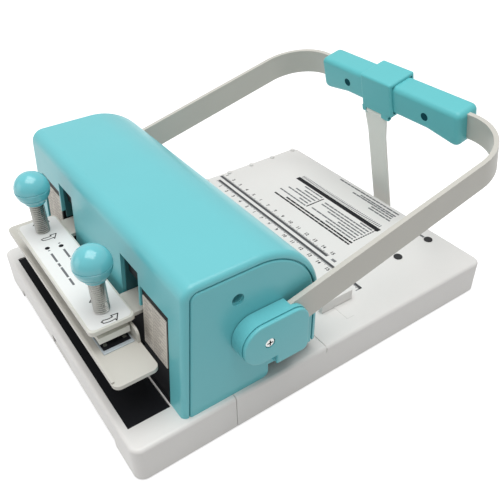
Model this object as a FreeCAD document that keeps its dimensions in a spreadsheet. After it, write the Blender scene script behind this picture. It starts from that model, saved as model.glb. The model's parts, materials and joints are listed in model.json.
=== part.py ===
"""Desktop book-binding punch with a wire closer, as a parametric FreeCAD document.

Units are millimetres. +X runs along the cover towards its right end, +Y towards the
paper deck and the grip, +Z up. The origin is on the table under the middle of the object.
"""
import FreeCAD
import Part
import Sketcher
import os
import re

doc = FreeCAD.newDocument("BindingPunch")
sizes = doc.addObject("Spreadsheet::Sheet", "Sizes")
places = doc.addObject("Spreadsheet::Sheet", "Places")
sheet_of = {}
parts = []


def put(sheet, alias, text):
    """Write one named cell at the foot of a sheet."""
    row = sum(1 for owner in sheet_of.values() if owner == sheet.Name) + 1
    sheet.set(f"A{row}", alias)
    sheet.set(f"B{row}", text)
    sheet.setAlias(f"B{row}", alias)
    sheet_of[alias] = sheet.Name


def formula(text):
    """Give every alias in an expression the name of its sheet."""
    return re.sub(r"[a-z]\w*", lambda word: (
        f"{sheet_of[word.group()]}.{word.group()}" if word.group() in sheet_of else word.group()), text)


def place(alias, text):
    """A dimension worked out from others."""
    put(places, alias, "=" + formula(text))


def number(alias):
    """The present value of a named dimension."""
    return float((sizes if sheet_of[alias] == "Sizes" else places).get(alias))


# Driving dimensions, in millimetres and degrees
driving = {
    # Gaps, and how far a cutting shape runs past the piece it cuts
    "slip_gap": 0.3,
    "running_gap": 0.05,
    "over_cut": 1,
    # Base mouldings
    "base_ledge": 5,
    "front_inset": 5.8714,
    "base_height": 32.5,
    "base_shift": -12.18,
    "foot_height": 1.5,
    "shell_wall": 3,
    "deck_thickness": 6,
    "base_corner_radius": 8,
    "base_edge_radius": 3,
    "rear_shell_length": 80,
    "seam_gap": 0.4,
    "seam_groove": 0.8,
    "deck_groove_setback": 163,
    "deck_groove_run": 22,
    "boss_radius": 5,
    "boss_inset": 15,
    "boss_row_rear": 25,
    "boss_row_middle": 45,
    "boss_row_front": 25,
    "pit_margin": 2,
    "pit_setback": 6.5,
    "pit_depth_along": 32.5,
    "pit_depth": 2.5,
    "mat_thickness": 1.5,
    "floor_thickness": 1.2,
    "screw_radius": 2,
    "screw_head_radius": 4,
    "screw_head_height": 2.4,
    "screw_end": 2,
    "floor_head_height": 0.9,
    "foot_radius": 8,
    "foot_inset": 42,
    "nub_count": 5,
    "nub_pitch": 29.6,
    "nub_inset": 8.2,
    "nub_radius": 2.4,
    "nub_height": 2,
    "plug_radius": 4,
    "plug_height": 0.9,
    "plug_inset_first": 48,
    "plug_inset_second": 50,
    "plug_front_first": 57,
    "plug_front_second": 15,
    # Chip drawer
    "drawer_half_width": 97.5,
    "drawer_wall": 1.5,
    "drawer_floor": 1.2,
    "drawer_height": 5.9,
    "drawer_recess": 1,
    "drawer_past_punches": 22,
    "finger_half_width": 18,
    "finger_height": 17,
    "finger_tab_margin": 3,
    # Punch head: die, stripper, pins and ram
    "punch_ahead": 30,
    "punch_end_wall": 2,
    "punch_pitch": 12.7,
    "pin_radius": 2.5,
    "pin_reach": 2.5,
    "die_thickness": 4,
    "die_side_gap": 8.3,
    "die_behind": 19,
    "die_ahead": 17,
    "throat_height": 6,
    "throat_stop_behind": 6,
    "throat_stop_depth": 10,
    "stripper_thickness": 4.5,
    "ram_side_gap": 4,
    "ram_depth": 14,
    "ram_height": 10.4,
    "ram_seat_gap": 1,
    "post_radius": 5,
    "post_inset": 8,
    "post_height": 29.5,
    # Pivot shaft and cams
    "pivot_behind": 9,
    "shaft_radius": 8,
    "cam_throw": 10.9,
    "cam_angle": 40,
    "cam_gap": 0.6,
    "cam_wall": 3.1,
    "cam_thickness": 10,
    "cam_spring_gap": 2,
    "bush_wall": 4,
    "bush_proud": 1,
    "spring_wall": 1.4,
    "spring_gap": 1,
    "spring_length": 22,
    # Cover
    "cover_setback": 40,
    "cover_wall": 4.5,
    "cover_height": 110.5,
    "cover_lean": 9,
    "cover_nose_back": 116,
    "cover_nose_height": 11.5,
    "cover_rear_radius": 11,
    "cover_nose_radius": 53,
    "cover_end_radius": 4.4,
    "end_plate_thickness": 4,
    "end_plate_proud": 0.5,
    "end_plate_gap": 1,
    "end_plate_edge_radius": 1.6,
    "end_foot_ahead": 6.6,
    "end_foot_radius": 5,
    "window_inset": 6,
    "window_post_x": 73,
    "window_height": 78,
    "panel_height": 45,
    "slot_x": 57.5,
    "slot_width": 27,
    "slot_height": 87,
    "cover_screw_ahead": 47,
    "cover_screw_height": 85.5,
    "screw_seat": 3,
    "screw_seat_wall": 2,
    # Steel frame
    "frame_thickness": 3,
    "side_thickness": 4,
    "side_inset": 12,
    "frame_height": 78,
    "side_height": 92,
    "frame_foot": 9.5,
    "frame_foot_thickness": 2,
    "side_front": 18,
    "side_top_front": 3,
    "side_shoulder_drop": 16,
    # Wire closer
    "stud_setback": 23,
    "stud_x": 57.5,
    "stud_radius": 5.8,
    "stud_end_radius": 4,
    "stud_end_length": 4,
    "stud_top_height": 87,
    "ball_radius": 13.5,
    "ball_neck_radius": 8,
    "ball_neck_height": 4,
    "ball_height": 97.5,
    "closer_half_length": 75.5,
    "closer_depth": 33.5,
    "closer_plate_thickness": 4,
    "closer_plate_height": 53.5,
    "closer_corner_radius": 4,
    "closer_edge_radius": 0.8,
    "arm_width": 24,
    "arm_slot_gap": 1,
    "arm_thickness": 3,
    "arm_front": 14,
    "bracket_leg_gap": 15,
    "bracket_leg": 4,
    "bracket_foot_rise": 3,
    "bracket_foot_height": 5,
    "ram_lift": 14,
    "press_half_length": 74,
    "press_depth": 23,
    "press_height": 5.2,
    "press_up_travel": 1.5,
    "bed_inset": 2,
    "bed_front": 18,
    "bed_back": 14.5,
    "bed_thickness": 3,
    "bed_height": 37.5,
    "bed_lip": 1.5,
    "bed_corner_radius": 5,
    "flange_half_length": 82,
    "flange_height": 11,
    "flange_thickness": 2,
    "tongue_half_width": 40,
    "tab_drop": 15,
    "bed_screw_x": 28,
    "anvil_half_length": 79,
    "anvil_thickness": 1,
    "holder_depth": 1.5,
    "label_thickness": 0.8,
    "label_inner_x": 75,
    "label_inset": 4,
    "label_low": 17,
    "label_high": 68.5,
    # Bail handle, grip and hold-down strap
    "bail_tilt": 13.5,
    "bail_reach": 258,
    "bail_half_width": 139,
    "bail_thickness": 4,
    "bail_side_gap": 5,
    "bail_height": 24,
    "bail_tail": 11,
    "bail_bend": 46,
    "grip_bend_gap": 6,
    "grip_depth": 25,
    "grip_top": 15.5,
    "grip_low": 17.5,
    "grip_arch": 4.5,
    "grip_arch_run": 27,
    "grip_arch_inset": 8,
    "grip_arch_radius": 20,
    "grip_edge_radius": 5,
    "grip_end_radius": 6,
    "grip_screw_x": 49.5,
    "grip_screw_recess": 2.5,
    "grip_head_radius": 2.9,
    "saddle_x": -7.5,
    "saddle_width": 39,
    "saddle_wall": 3,
    "saddle_edge_radius": 2,
    "lug_x": -10.5,
    "lug_width": 33,
    "lug_drop": 7,
    "lug_depth": 6,
    "strap_x": -12,
    "strap_top_width": 28.6,
    "strap_width": 24,
    "strap_neck_width": 20,
    "strap_taper": 21,
    "strap_length": 104.1,
    "strap_corner_radius": 4,
    "strap_thickness": 1.8,
    "strap_barrel_radius": 2.9,
    "strap_pin_radius": 1.5,
    "hub_front": 7,
    "hub_gap": 0.5,
    "hub_left": 20.5,
    "hub_right": 33,
    "hub_top": 17.5,
    "hub_lobe": 16,
    "hub_leg": 6,
    "hub_bottom": 24,
    "hub_round": 16,
    "hub_corner": 12,
    "hub_low_corner": 5,
    "hub_plate_thickness": 2.4,
    "hub_plate_inset": 0.3,
    "hub_groove_width": 1,
    "hub_groove_depth": 1.2,
    "hub_edge_radius": 1.2,
    "hub_screw_recess": 2.6,
    "shaft_end_inset": 4,
    "hub_screw_length": 12,
    # Paper guide
    "guide_inset": 33,
    "guide_width": 4.5,
    "guide_setback": 184,
    "guide_length": 33,
    "guide_height": 10,
    "guide_stem_radius": 2.2,
    "guide_nut_radius": 5,
    "guide_nut_height": 3,
    "guide_travel": 8,
}
for alias, value in driving.items():
    put(sizes, alias, str(value))

# Places that follow: widths, from the bail inwards
place("bail_inner_x", "bail_half_width - bail_thickness")
place("hub_face_x", "bail_half_width + hub_front")
place("grip_half_length", "bail_half_width - bail_bend - grip_bend_gap")
place("grip_arch_end", "grip_half_length - grip_arch_inset")
place("grip_arch_half", "grip_arch_end - grip_arch_run")
place("cover_half_length", "bail_inner_x - bail_side_gap")
place("half_base", "cover_half_length + base_ledge")
place("side_outer_x", "cover_half_length - side_inset")
place("side_inner_x", "side_outer_x - side_thickness")
place("window_half_width", "side_outer_x - window_inset")
place("pit_half_width", "window_half_width + pit_margin")
place("label_outer_x", "window_half_width - label_inset")
place("bed_half_length", "window_half_width - bed_inset")
place("die_half_width", "side_inner_x - die_side_gap")
place("ram_half_width", "side_inner_x - ram_side_gap")
place("post_x", "ram_half_width - post_inset")
place("punch_reach", "post_x - post_radius - pin_radius - punch_end_wall")
place("punch_count", "floor(punch_reach * 2 / punch_pitch) + 1")
place("cam_x", "side_inner_x - spring_length - cam_spring_gap - cam_thickness / 2")

# Places that follow: base mouldings
place("pivot_setback", "rear_shell_length + punch_ahead - pivot_behind")
place("base_length", "pivot_setback + bail_reach * cos(bail_tilt * 1deg) - front_inset")
place("rear_y", "base_shift - base_length / 2")
place("front_y", "base_shift + base_length / 2")
place("split_y", "rear_y + rear_shell_length")
place("deck_z", "base_height")
place("deck_under_z", "deck_z - deck_thickness")
place("floor_z", "foot_height + floor_thickness")
place("boss_x", "half_base - boss_inset")

# Places that follow: chip drawer
place("drawer_z", "floor_z + slip_gap")
place("drawer_top_z", "drawer_z + drawer_height")
place("drawer_rear_y", "rear_y + drawer_recess")

# Places that follow: punch head: die, stripper, pins and ram
place("punch_y", "split_y + punch_ahead")
place("drawer_front_y", "punch_y + drawer_past_punches")
place("punch_row", "(punch_count - 1) * punch_pitch")
place("die_z", "deck_z - die_thickness")
place("throat_top_z", "deck_z + throat_height")
place("stripper_top_z", "throat_top_z + stripper_thickness")
place("stop_y", "punch_y - throat_stop_behind")
place("die_back_y", "punch_y - die_behind")
place("die_front_y", "punch_y + die_ahead")
place("ram_z", "stripper_top_z + ram_seat_gap")
place("ram_top_z", "ram_z + ram_height")
place("ram_back_y", "punch_y - ram_depth / 2")
place("ram_front_y", "punch_y + ram_depth / 2")
place("pin_low_z", "die_z - pin_reach")

# Places that follow: pivot shaft and cams
place("pivot_y", "punch_y - pivot_behind")
place("cam_radius", "cam_throw + shaft_radius + cam_wall")
place("cam_y", "pivot_y + cam_throw * cos(cam_angle * 1deg)")
place("cam_z", "ram_top_z + cam_gap + cam_radius")
place("pivot_z", "cam_z + cam_throw * sin(cam_angle * 1deg)")

# Places that follow: cover
place("cover_y", "rear_y + cover_setback")
place("cover_top_z", "deck_z + cover_height")
place("cover_top_y", "cover_y + cover_lean")
place("cover_nose_y", "cover_y + cover_nose_back")
place("cover_nose_z", "deck_z + cover_nose_height")
place("end_foot_y", "stop_y + end_foot_ahead")
place("end_outer_x", "cover_half_length + end_plate_proud")
place("end_inner_x", "end_outer_x - end_plate_thickness")
place("cover_screw_y", "cover_y + cover_screw_ahead")
place("cover_screw_z", "deck_z + cover_screw_height")

# Places that follow: steel frame
place("inner_lean", "cover_lean * (frame_height + over_cut) / (cover_height + over_cut - cover_wall)")
place("plate_front_y", "cover_y + cover_wall + inner_lean + slip_gap")
place("plate_back_y", "plate_front_y + frame_thickness")
place("frame_top_z", "deck_z + frame_height")
place("side_top_z", "deck_z + side_height")

# Places that follow: wire closer
place("stud_y", "rear_y + stud_setback")
place("closer_top_z", "deck_z + closer_plate_height + closer_plate_thickness")
place("closer_low_z", "deck_z + closer_plate_height")
place("arm_low_z", "closer_low_z - arm_thickness")
place("press_top_z", "arm_low_z - press_up_travel - slip_gap")
place("press_low_z", "press_top_z - press_height")
place("bed_top_z", "deck_z + bed_height")
place("bed_low_z", "bed_top_z - bed_thickness")
place("bed_back_y", "stud_y + bed_back")
place("bed_front_y", "stud_y - bed_front")
place("ball_z", "deck_z + ball_height")
place("stud_top_z", "deck_z + stud_top_height")
place("leg_front_y", "plate_back_y + bracket_leg_gap")
place("leg_back_y", "leg_front_y + bracket_leg")
place("bracket_foot_z", "stripper_top_z + bracket_foot_rise")
place("bed_screw_z", "bed_low_z - tab_drop / 2")
place("holder_low_z", "deck_z + frame_foot_thickness")
place("holder_top_z", "deck_z + window_height - slip_gap")
place("label_low_z", "deck_z + label_low")
place("label_high_z", "deck_z + label_high")

# Places that follow: bail handle, grip and hold-down strap
place("hub_inner_x", "end_outer_x + hub_gap")
place("shaft_half_length", "hub_face_x - shaft_end_inset")
place("grip_near_u", "bail_reach - grip_depth / 2")
place("grip_far_u", "bail_reach + grip_depth / 2")
place("grip_top_v", "grip_top")
place("grip_low_v", "-grip_low")
place("saddle_low_v", "grip_low_v + grip_arch - saddle_wall")
place("lug_v", "saddle_low_v - lug_drop / 2")
place("strap_top_v", "lug_v - lug_depth / 2 - strap_thickness / 2")
place("strap_low_v", "strap_top_v - strap_length")

# Places that follow: paper guide
place("guide_x", "half_base - guide_inset")
place("guide_y", "rear_y + guide_setback")
place("guide_mid_y", "guide_y + guide_length / 2")

doc.recompute()


def bind(item, **formulas):
    """Tie properties to the sheets. Dots in a property path are written as double underscores."""
    for path, text in formulas.items():
        item.setExpression(path.replace("__", "."), formula(text))
    return item


def box(name, xs, ys, zs):
    """A block between two formulas along each axis."""
    item = doc.addObject("Part::Box", name)
    for path, axis, (low, high) in (("Length", "x", xs), ("Width", "y", ys), ("Height", "z", zs)):
        item.setExpression(path, formula(f"({high}) - ({low})"))
        item.setExpression(f"Placement.Base.{axis}", formula(low))
    return item


def rod(name, axis, radius, start, length):
    """A cylinder from a start point along X, Y or Z."""
    item = doc.addObject("Part::Cylinder", name)
    turns = {
        "X": FreeCAD.Rotation(FreeCAD.Vector(0, 1, 0), 90),
        "Y": FreeCAD.Rotation(FreeCAD.Vector(1, 0, 0), -90),
        "Z": FreeCAD.Rotation(),
    }
    item.Placement.Rotation = turns[axis]
    x, y, z = start
    return bind(item, Radius=radius, Height=length,
                Placement__Base__x=x, Placement__Base__y=y, Placement__Base__z=z)


def join(name, pieces):
    """One solid from several overlapping or touching ones."""
    item = doc.addObject("Part::MultiFuse", name)
    item.Shapes = pieces
    item.Refine = True
    return item


def group(name, pieces):
    """Several separate solids under one name."""
    item = doc.addObject("Part::Compound", name)
    item.Links = pieces
    return item


def cut(name, base, tools):
    """One solid with others taken away."""
    item = doc.addObject("Part::Cut", name)
    item.Base = base
    item.Tool = tools[0] if len(tools) == 1 else group(name + "_tools", tools)
    item.Refine = True
    return item


def soften(name, base, radius, wanted):
    """Round the edges that a test picks, by one named radius."""
    doc.recompute()
    item = doc.addObject("Part::Fillet", name)
    item.Base = base
    reach = number(radius)
    chosen = [at for at, edge in enumerate(base.Shape.Edges, start=1) if wanted(edge.BoundBox)]
    item.Edges = [(at, reach, reach) for at in chosen]
    return item


def outline(name, plane, corners, length, start=None):
    """A body padded from a closed outline; each corner is held by its two formulas.

    With no start the pad is even about the plane, otherwise it runs on from there.
    """
    body = doc.addObject("PartDesign::Body", name + "_body")
    sketch = body.newObject("Sketcher::SketchObject", name + "_outline")
    sketch.AttachmentSupport = [(next(f for f in body.Origin.OriginFeatures if f.Role == plane), "")]
    sketch.MapMode = "FlatFace"
    count = len(corners)
    ring = FreeCAD.Rotation(FreeCAD.Vector(0, 0, 1), 360 / count)
    point = FreeCAD.Vector(number("ball_radius"), 0, 0)
    for at in range(count):
        sketch.addGeometry(Part.LineSegment(point, ring.multVec(point)), False)
        point = ring.multVec(point)
    for at in range(count):
        sketch.addConstraint(Sketcher.Constraint("Coincident", at, 2, (at + 1) % count, 1))
    for at, pair in enumerate(corners):
        spot = sketch.Geometry[at].StartPoint
        for kind, now, text in zip(("DistanceX", "DistanceY"), (spot.x, spot.y), pair):
            index = sketch.addConstraint(Sketcher.Constraint(kind, -1, 1, at, 1, now))
            sketch.setExpression(f"Constraints[{index}]", formula(text))
    pad = body.newObject("PartDesign::Pad", name + "_pad")
    pad.Profile = sketch
    pad.setExpression("Length", formula(length))
    if start is None:
        pad.Midplane = True
    else:
        sketch.setExpression("AttachmentOffset.Base.z", formula(start))
    doc.recompute()
    return body, sketch


def round_corners(body, sketch, radius, corners):
    """Round the edges that the pad raised from some corners of its outline."""
    doc.recompute()
    where = sketch.Placement
    normal = where.Rotation.multVec(FreeCAD.Vector(0, 0, 1))
    spots = [where.multVec(sketch.Geometry[at].StartPoint) for at in corners]
    names = []
    for at, edge in enumerate(body.Tip.Shape.Edges, start=1):
        ends = [vertex.Point for vertex in edge.Vertexes]
        if len(ends) != 2 or (ends[1] - ends[0]).cross(normal).Length > 1e-6:
            continue
        if any((ends[0] - spot).cross(normal).Length < 1e-6 for spot in spots):
            names.append(f"Edge{at}")
    base = body.Tip
    rounding = body.newObject("PartDesign::Fillet", f"{body.Name}_{radius}")
    rounding.Base = (base, names)
    rounding.setExpression("Radius", formula(radius))
    doc.recompute()


def part(item, label):
    """Name a finished piece."""
    item.Label = label
    parts.append(item)


sides = (("left", "-1"), ("right", "1"))


def both_sides(make):
    """Build a left and a right piece: the sign goes into their X formulas."""
    for side, sign in sides:
        make(side, sign)


def across(sign, inner, outer):
    """The X span of a piece that lies between two distances from the middle plane."""
    if sign == "1":
        return (inner, outer)
    return (f"-({outer})", f"-({inner})")


def swing(item):
    """Set a piece, drawn about the pivot with its arm along +Y, at the bail's tilt."""
    item.Placement.Rotation = FreeCAD.Rotation(FreeCAD.Vector(1, 0, 0), number("bail_tilt"))
    return bind(item, Placement__Rotation__Angle="bail_tilt * 1deg",
                Placement__Base__y="pivot_y", Placement__Base__z="pivot_z")


# Base shells: two mouldings that meet under the cover, open below
def shell(name, low_y, high_y, outer_y, extras, cuts):
    """One base moulding, rounded on the outside and hollow from below."""
    block = box(name + "_block", ("-half_base", "half_base"), (low_y, high_y), ("foot_height", "deck_z"))
    outer = number(outer_y)
    upright = soften(name + "_upright", block, "base_corner_radius",
                     lambda b: b.ZLength > 1 and abs(b.YMin - outer) < 0.01 and abs(b.YMax - outer) < 0.01)
    top = number("deck_z")
    split = number("split_y")
    rim = soften(name + "_rim", upright, "base_edge_radius",
                 lambda b: abs(b.ZMin - top) < 0.01 and not (b.YLength < 0.01 and abs(b.YMin - split) < 1))
    into_y = ("rear_y + shell_wall", high_y) if outer_y == "rear_y" else (low_y, "front_y - shell_wall")
    hollow = box(name + "_hollow", ("shell_wall - half_base", "half_base - shell_wall"), into_y,
                 ("foot_height", "deck_under_z"))
    body = join(name + "_bossed", [cut(name + "_tub", rim, [hollow])] + extras)
    part(cut(name, body, cuts), name)


def boss(name, y):
    """A pair of screw bosses under the deck."""
    return [rod(f"{name}_{side}", "Z", "boss_radius", (f"{sign} * boss_x", y, "floor_z"),
                "deck_under_z - floor_z") for side, sign in sides]


boss_rows = {
    "rear": "rear_y + boss_row_rear",
    "middle": "split_y + boss_row_middle",
    "front": "front_y - boss_row_front",
}


def boss_holes(name):
    """Pilot holes for the floor screws in one row of bosses."""
    return [rod(f"{name}_pilot_{side}", "Z", "screw_radius",
                (f"{sign} * boss_x", boss_rows[name], "floor_z"), "screw_head_height * 4")
            for side, sign in sides]


pit = box("pit", ("-pit_half_width", "pit_half_width"),
          ("rear_y + pit_setback", "rear_y + pit_setback + pit_depth_along"),
          ("deck_z - pit_depth", "deck_z + over_cut"))
rear_wall_y = ("rear_y - over_cut", "rear_y + shell_wall + over_cut")
drawer_mouth = box("drawer_mouth", ("-drawer_half_width - slip_gap * 4", "drawer_half_width + slip_gap * 4"),
                   rear_wall_y, ("foot_height - over_cut", "drawer_top_z + slip_gap"))
finger_notch = box("finger_notch", ("-finger_half_width", "finger_half_width"),
                   rear_wall_y, ("foot_height - over_cut", "foot_height + finger_height"))
shell("base_rear_shell", "rear_y", "split_y - seam_gap / 2", "rear_y",
      boss("rear_boss", boss_rows["rear"]), [pit, drawer_mouth, finger_notch] + boss_holes("rear"))

die_pocket = box("die_pocket", ("-die_half_width - slip_gap", "die_half_width + slip_gap"),
                 ("die_back_y - slip_gap", "die_front_y + slip_gap"), ("die_z", "deck_z + over_cut"))
chip_slot = box("chip_slot", ("-punch_row / 2 - pin_radius * 2", "punch_row / 2 + pin_radius * 2"),
                ("ram_back_y", "ram_front_y"), ("deck_under_z - over_cut", "deck_z"))
guide_slot = box("guide_slot", ("guide_x - guide_travel - guide_stem_radius - slip_gap",
                                "guide_x + guide_travel + guide_stem_radius + slip_gap"),
                 ("guide_mid_y - guide_stem_radius - slip_gap", "guide_mid_y + guide_stem_radius + slip_gap"),
                 ("deck_under_z - over_cut", "deck_z + over_cut"))
groove_y = ("rear_y + deck_groove_setback", "rear_y + deck_groove_setback + seam_groove")
deck_groove = box("deck_groove", ("half_base - deck_groove_run", "half_base + over_cut"), groove_y,
                  ("deck_z - seam_groove", "deck_z + over_cut"))
side_groove = box("side_groove", ("half_base - seam_groove", "half_base + over_cut"), groove_y,
                  ("deck_z - deck_thickness", "deck_z + over_cut"))
nubs = [rod(f"nub_{at}", "Z", "nub_radius",
            ("nub_radius + base_edge_radius - half_base", f"front_y - nub_inset - {at} * nub_pitch",
             "deck_z - nub_height"), "nub_height * 2") for at in range(int(number("nub_count")))]
shell("base_front_shell", "split_y + seam_gap / 2", "front_y", "front_y",
      boss("middle_boss", boss_rows["middle"]) + boss("front_boss", boss_rows["front"]) + nubs,
      [die_pocket, chip_slot, guide_slot, deck_groove, side_groove]
      + boss_holes("middle") + boss_holes("front"))

# Floor plate, its screws and the rubber feet under it
floor_sheet = box("floor_sheet", ("shell_wall + slip_gap - half_base", "half_base - shell_wall - slip_gap"),
                  ("rear_y + shell_wall + slip_gap", "front_y - shell_wall - slip_gap"),
                  ("foot_height", "floor_z"))
floor_holes = []
floor_screws = []
for row, y in boss_rows.items():
    for side, sign in sides:
        x = f"{sign} * boss_x"
        floor_holes.append(rod(f"floor_hole_{row}_{side}", "Z", "screw_radius + slip_gap",
                               (x, y, "foot_height - over_cut"), "floor_thickness + over_cut * 2"))
        low_z = "foot_height - floor_head_height"
        shank = rod(f"floor_shank_{row}_{side}", "Z", "screw_radius - running_gap", (x, y, low_z),
                    "floor_thickness + screw_head_height * 3")
        head = rod(f"floor_head_{row}_{side}", "Z", "screw_head_radius", (x, y, low_z), "floor_head_height")
        floor_screws.append(join(f"floor_screw_{row}_{side}", [shank, head]))
part(cut("floor_plate", floor_sheet, floor_holes), "floor_plate")
part(group("floor_screws", floor_screws), "floor_screws")
feet = []
for row, y in (("rear", "rear_y + foot_inset"), ("front", "front_y - foot_inset")):
    for side, sign in sides:
        feet.append(rod(f"foot_{row}_{side}", "Z", "foot_radius", (f"{sign} * boss_x", y, "0"),
                        "foot_height"))
part(group("rubber_feet", feet), "rubber_feet")

# Rear pit lining and the two deck plugs
part(box("pit_mat", ("slip_gap - pit_half_width", "pit_half_width - slip_gap"),
         ("rear_y + pit_setback + slip_gap", "rear_y + pit_setback + pit_depth_along - slip_gap"),
         ("deck_z - pit_depth", "deck_z - pit_depth + mat_thickness")), "pit_mat")
part(group("deck_plugs", [
    rod(f"plug_{name}", "Z", "plug_radius",
        (f"half_base - plug_inset_{name}", f"front_y - plug_front_{name}", "deck_z"), "plug_height")
    for name in ("first", "second")]), "deck_plugs")

# Chip drawer, which pulls out through the rear wall
drawer_block = box("drawer_block", ("-drawer_half_width", "drawer_half_width"),
                   ("drawer_rear_y", "drawer_front_y"), ("drawer_z", "drawer_top_z"))
drawer_inside = box("drawer_inside", ("drawer_wall - drawer_half_width", "drawer_half_width - drawer_wall"),
                    ("drawer_rear_y + drawer_wall", "drawer_front_y - drawer_wall"),
                    ("drawer_z + drawer_floor", "drawer_top_z + over_cut"))
finger_tab = box("finger_tab",
                 ("finger_tab_margin - finger_half_width", "finger_half_width - finger_tab_margin"),
                 ("drawer_rear_y", "drawer_rear_y + drawer_wall"),
                 ("drawer_z", "foot_height + finger_height - finger_tab_margin"))
part(join("chip_drawer", [cut("drawer_tray", drawer_block, [drawer_inside]), finger_tab]), "chip_drawer")

# Die, throat stop, stripper and guide posts
def pin_holes(name, low_z, height):
    """One row of running holes for the punch pins."""
    return [rod(f"{name}_{at}", "Z", "pin_radius + running_gap",
                (f"{at} * punch_pitch - punch_row / 2", "punch_y", low_z), height)
            for at in range(int(number("punch_count")))]


die_bar = box("die_bar", ("-die_half_width", "die_half_width"), ("die_back_y", "die_front_y"),
              ("die_z", "deck_z"))
part(cut("die_plate", die_bar,
         pin_holes("die_hole", "die_z - over_cut", "die_thickness + over_cut * 2")), "die_plate")
part(box("throat_stop_bar", ("-side_inner_x", "side_inner_x"), ("stop_y - throat_stop_depth", "stop_y"),
         ("deck_z", "throat_top_z")), "throat_stop_bar")
stripper_bar = box("stripper_bar", ("-side_inner_x", "side_inner_x"), ("die_back_y", "die_front_y"),
                   ("throat_top_z", "stripper_top_z"))
part(cut("stripper_plate", stripper_bar,
         pin_holes("stripper_hole", "throat_top_z - over_cut", "stripper_thickness + over_cut * 2")),
     "stripper_plate")
part(group("guide_posts", [
    rod(f"post_{side}", "Z", "post_radius", (f"{sign} * post_x", "punch_y", "stripper_top_z"), "post_height")
    for side, sign in sides]), "guide_posts")

# Steel frame: a back plate with a foot, and two side plates that carry the shaft
back_sheet = box("back_sheet", ("-side_outer_x", "side_outer_x"), ("plate_front_y", "plate_back_y"),
                 ("deck_z", "frame_top_z"))
back_foot = box("back_foot", ("slip_gap - window_half_width", "window_half_width - slip_gap"),
                ("plate_front_y - frame_foot", "plate_front_y"), ("deck_z", "deck_z + frame_foot_thickness"))
plate_through_y = ("plate_front_y - over_cut", "plate_back_y + over_cut")
arm_slots = [box(f"arm_slot_{side}", across(sign, "stud_x - arm_width / 2 - arm_slot_gap",
                                            "stud_x + arm_width / 2 + arm_slot_gap"), plate_through_y,
                 ("arm_low_z - arm_slot_gap * 2", "closer_low_z + ram_lift + arm_slot_gap * 2"))
             for side, sign in sides]
tab_holes = [rod(f"tab_hole_{side}", "Y", "screw_radius + running_gap",
                 (f"{sign} * bed_screw_x", plate_through_y[0], "bed_screw_z"),
                 "frame_thickness + over_cut * 2")
             for side, sign in sides]
part(cut("frame_back_plate", join("back_frame", [back_sheet, back_foot]), arm_slots + tab_holes),
     "frame_back_plate")


def side_plate(side, sign):
    start = "side_inner_x" if sign == "1" else "-side_outer_x"
    body, sketch = outline(f"side_{side}", "YZ_Plane", [
        ("plate_back_y", "deck_z"),
        ("plate_back_y", "side_top_z"),
        ("punch_y + side_top_front", "side_top_z"),
        ("punch_y + side_front", "side_top_z - side_shoulder_drop"),
        ("punch_y + side_front", "throat_top_z"),
        ("stop_y", "throat_top_z"),
        ("stop_y", "deck_z"),
    ], "side_thickness", start)
    bush_hole = rod(f"bush_hole_{side}", "X", "shaft_radius + bush_wall + running_gap",
                    (f"{start} - over_cut", "pivot_y", "pivot_z"), "side_thickness + over_cut * 2")
    screw_hole = rod(f"side_screw_hole_{side}", "X", "screw_radius + running_gap",
                     (f"{start} - over_cut", "cover_screw_y", "cover_screw_z"),
                     "side_thickness + over_cut * 2")
    part(cut(f"frame_side_{side}", body, [bush_hole, screw_hole]), f"frame_side_{side}")


both_sides(side_plate)

# Bushes in the side plates and the sprung sleeves beside them
bushes = []
for side, sign in sides:
    start = "side_inner_x" if sign == "1" else "-side_outer_x - bush_proud"
    ring = rod(f"bush_ring_{side}", "X", "shaft_radius + bush_wall", (start, "pivot_y", "pivot_z"),
               "side_thickness + bush_proud")
    bore = rod(f"bush_bore_{side}", "X", "shaft_radius + running_gap",
               (f"{start} - over_cut", "pivot_y", "pivot_z"), "side_thickness + bush_proud + over_cut * 2")
    bushes.append(cut(f"bush_{side}", ring, [bore]))
part(group("shaft_bushes", bushes), "shaft_bushes")


def spring(side, sign):
    start = "side_inner_x - spring_length" if sign == "1" else "-side_inner_x"
    sleeve = rod(f"spring_sleeve_{side}", "X", "shaft_radius + spring_gap + spring_wall",
                 (start, "pivot_y", "pivot_z"), "spring_length")
    bore = rod(f"spring_bore_{side}", "X", "shaft_radius + spring_gap",
               (f"{start} - over_cut", "pivot_y", "pivot_z"), "spring_length + over_cut * 2")
    part(cut(f"return_spring_{side}", sleeve, [bore]), f"return_spring_{side}")


both_sides(spring)


# Cover: a one-piece skin over the frame, open at its ends and below
def cover_form(name, inset, low_z, foot_y, length, start=None):
    """The cover's end view, drawn inside itself by an inset, with its two rounded edges."""
    body, sketch = outline(name, "YZ_Plane", [
        (f"cover_y + {inset}", low_z),
        (f"cover_top_y + {inset}", f"cover_top_z - {inset}"),
        (f"cover_nose_y - {inset}", f"cover_top_z - {inset}"),
        (f"cover_nose_y - {inset}", "cover_nose_z"),
        (foot_y, "cover_nose_z"),
        (foot_y, low_z),
    ], length, start)
    round_corners(body, sketch, f"cover_rear_radius - {inset}", [1])
    round_corners(body, sketch, f"cover_nose_radius - {inset}", [2])
    return body, sketch


def end_edges(face_x):
    """A test for the upper edges of an end face of the cover or of its end plates."""
    low = number("cover_nose_z") + number("slip_gap")
    return lambda b: b.XLength < 0.01 and abs(abs(b.XMin) - face_x) < 0.01 and b.ZMax > low


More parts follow.
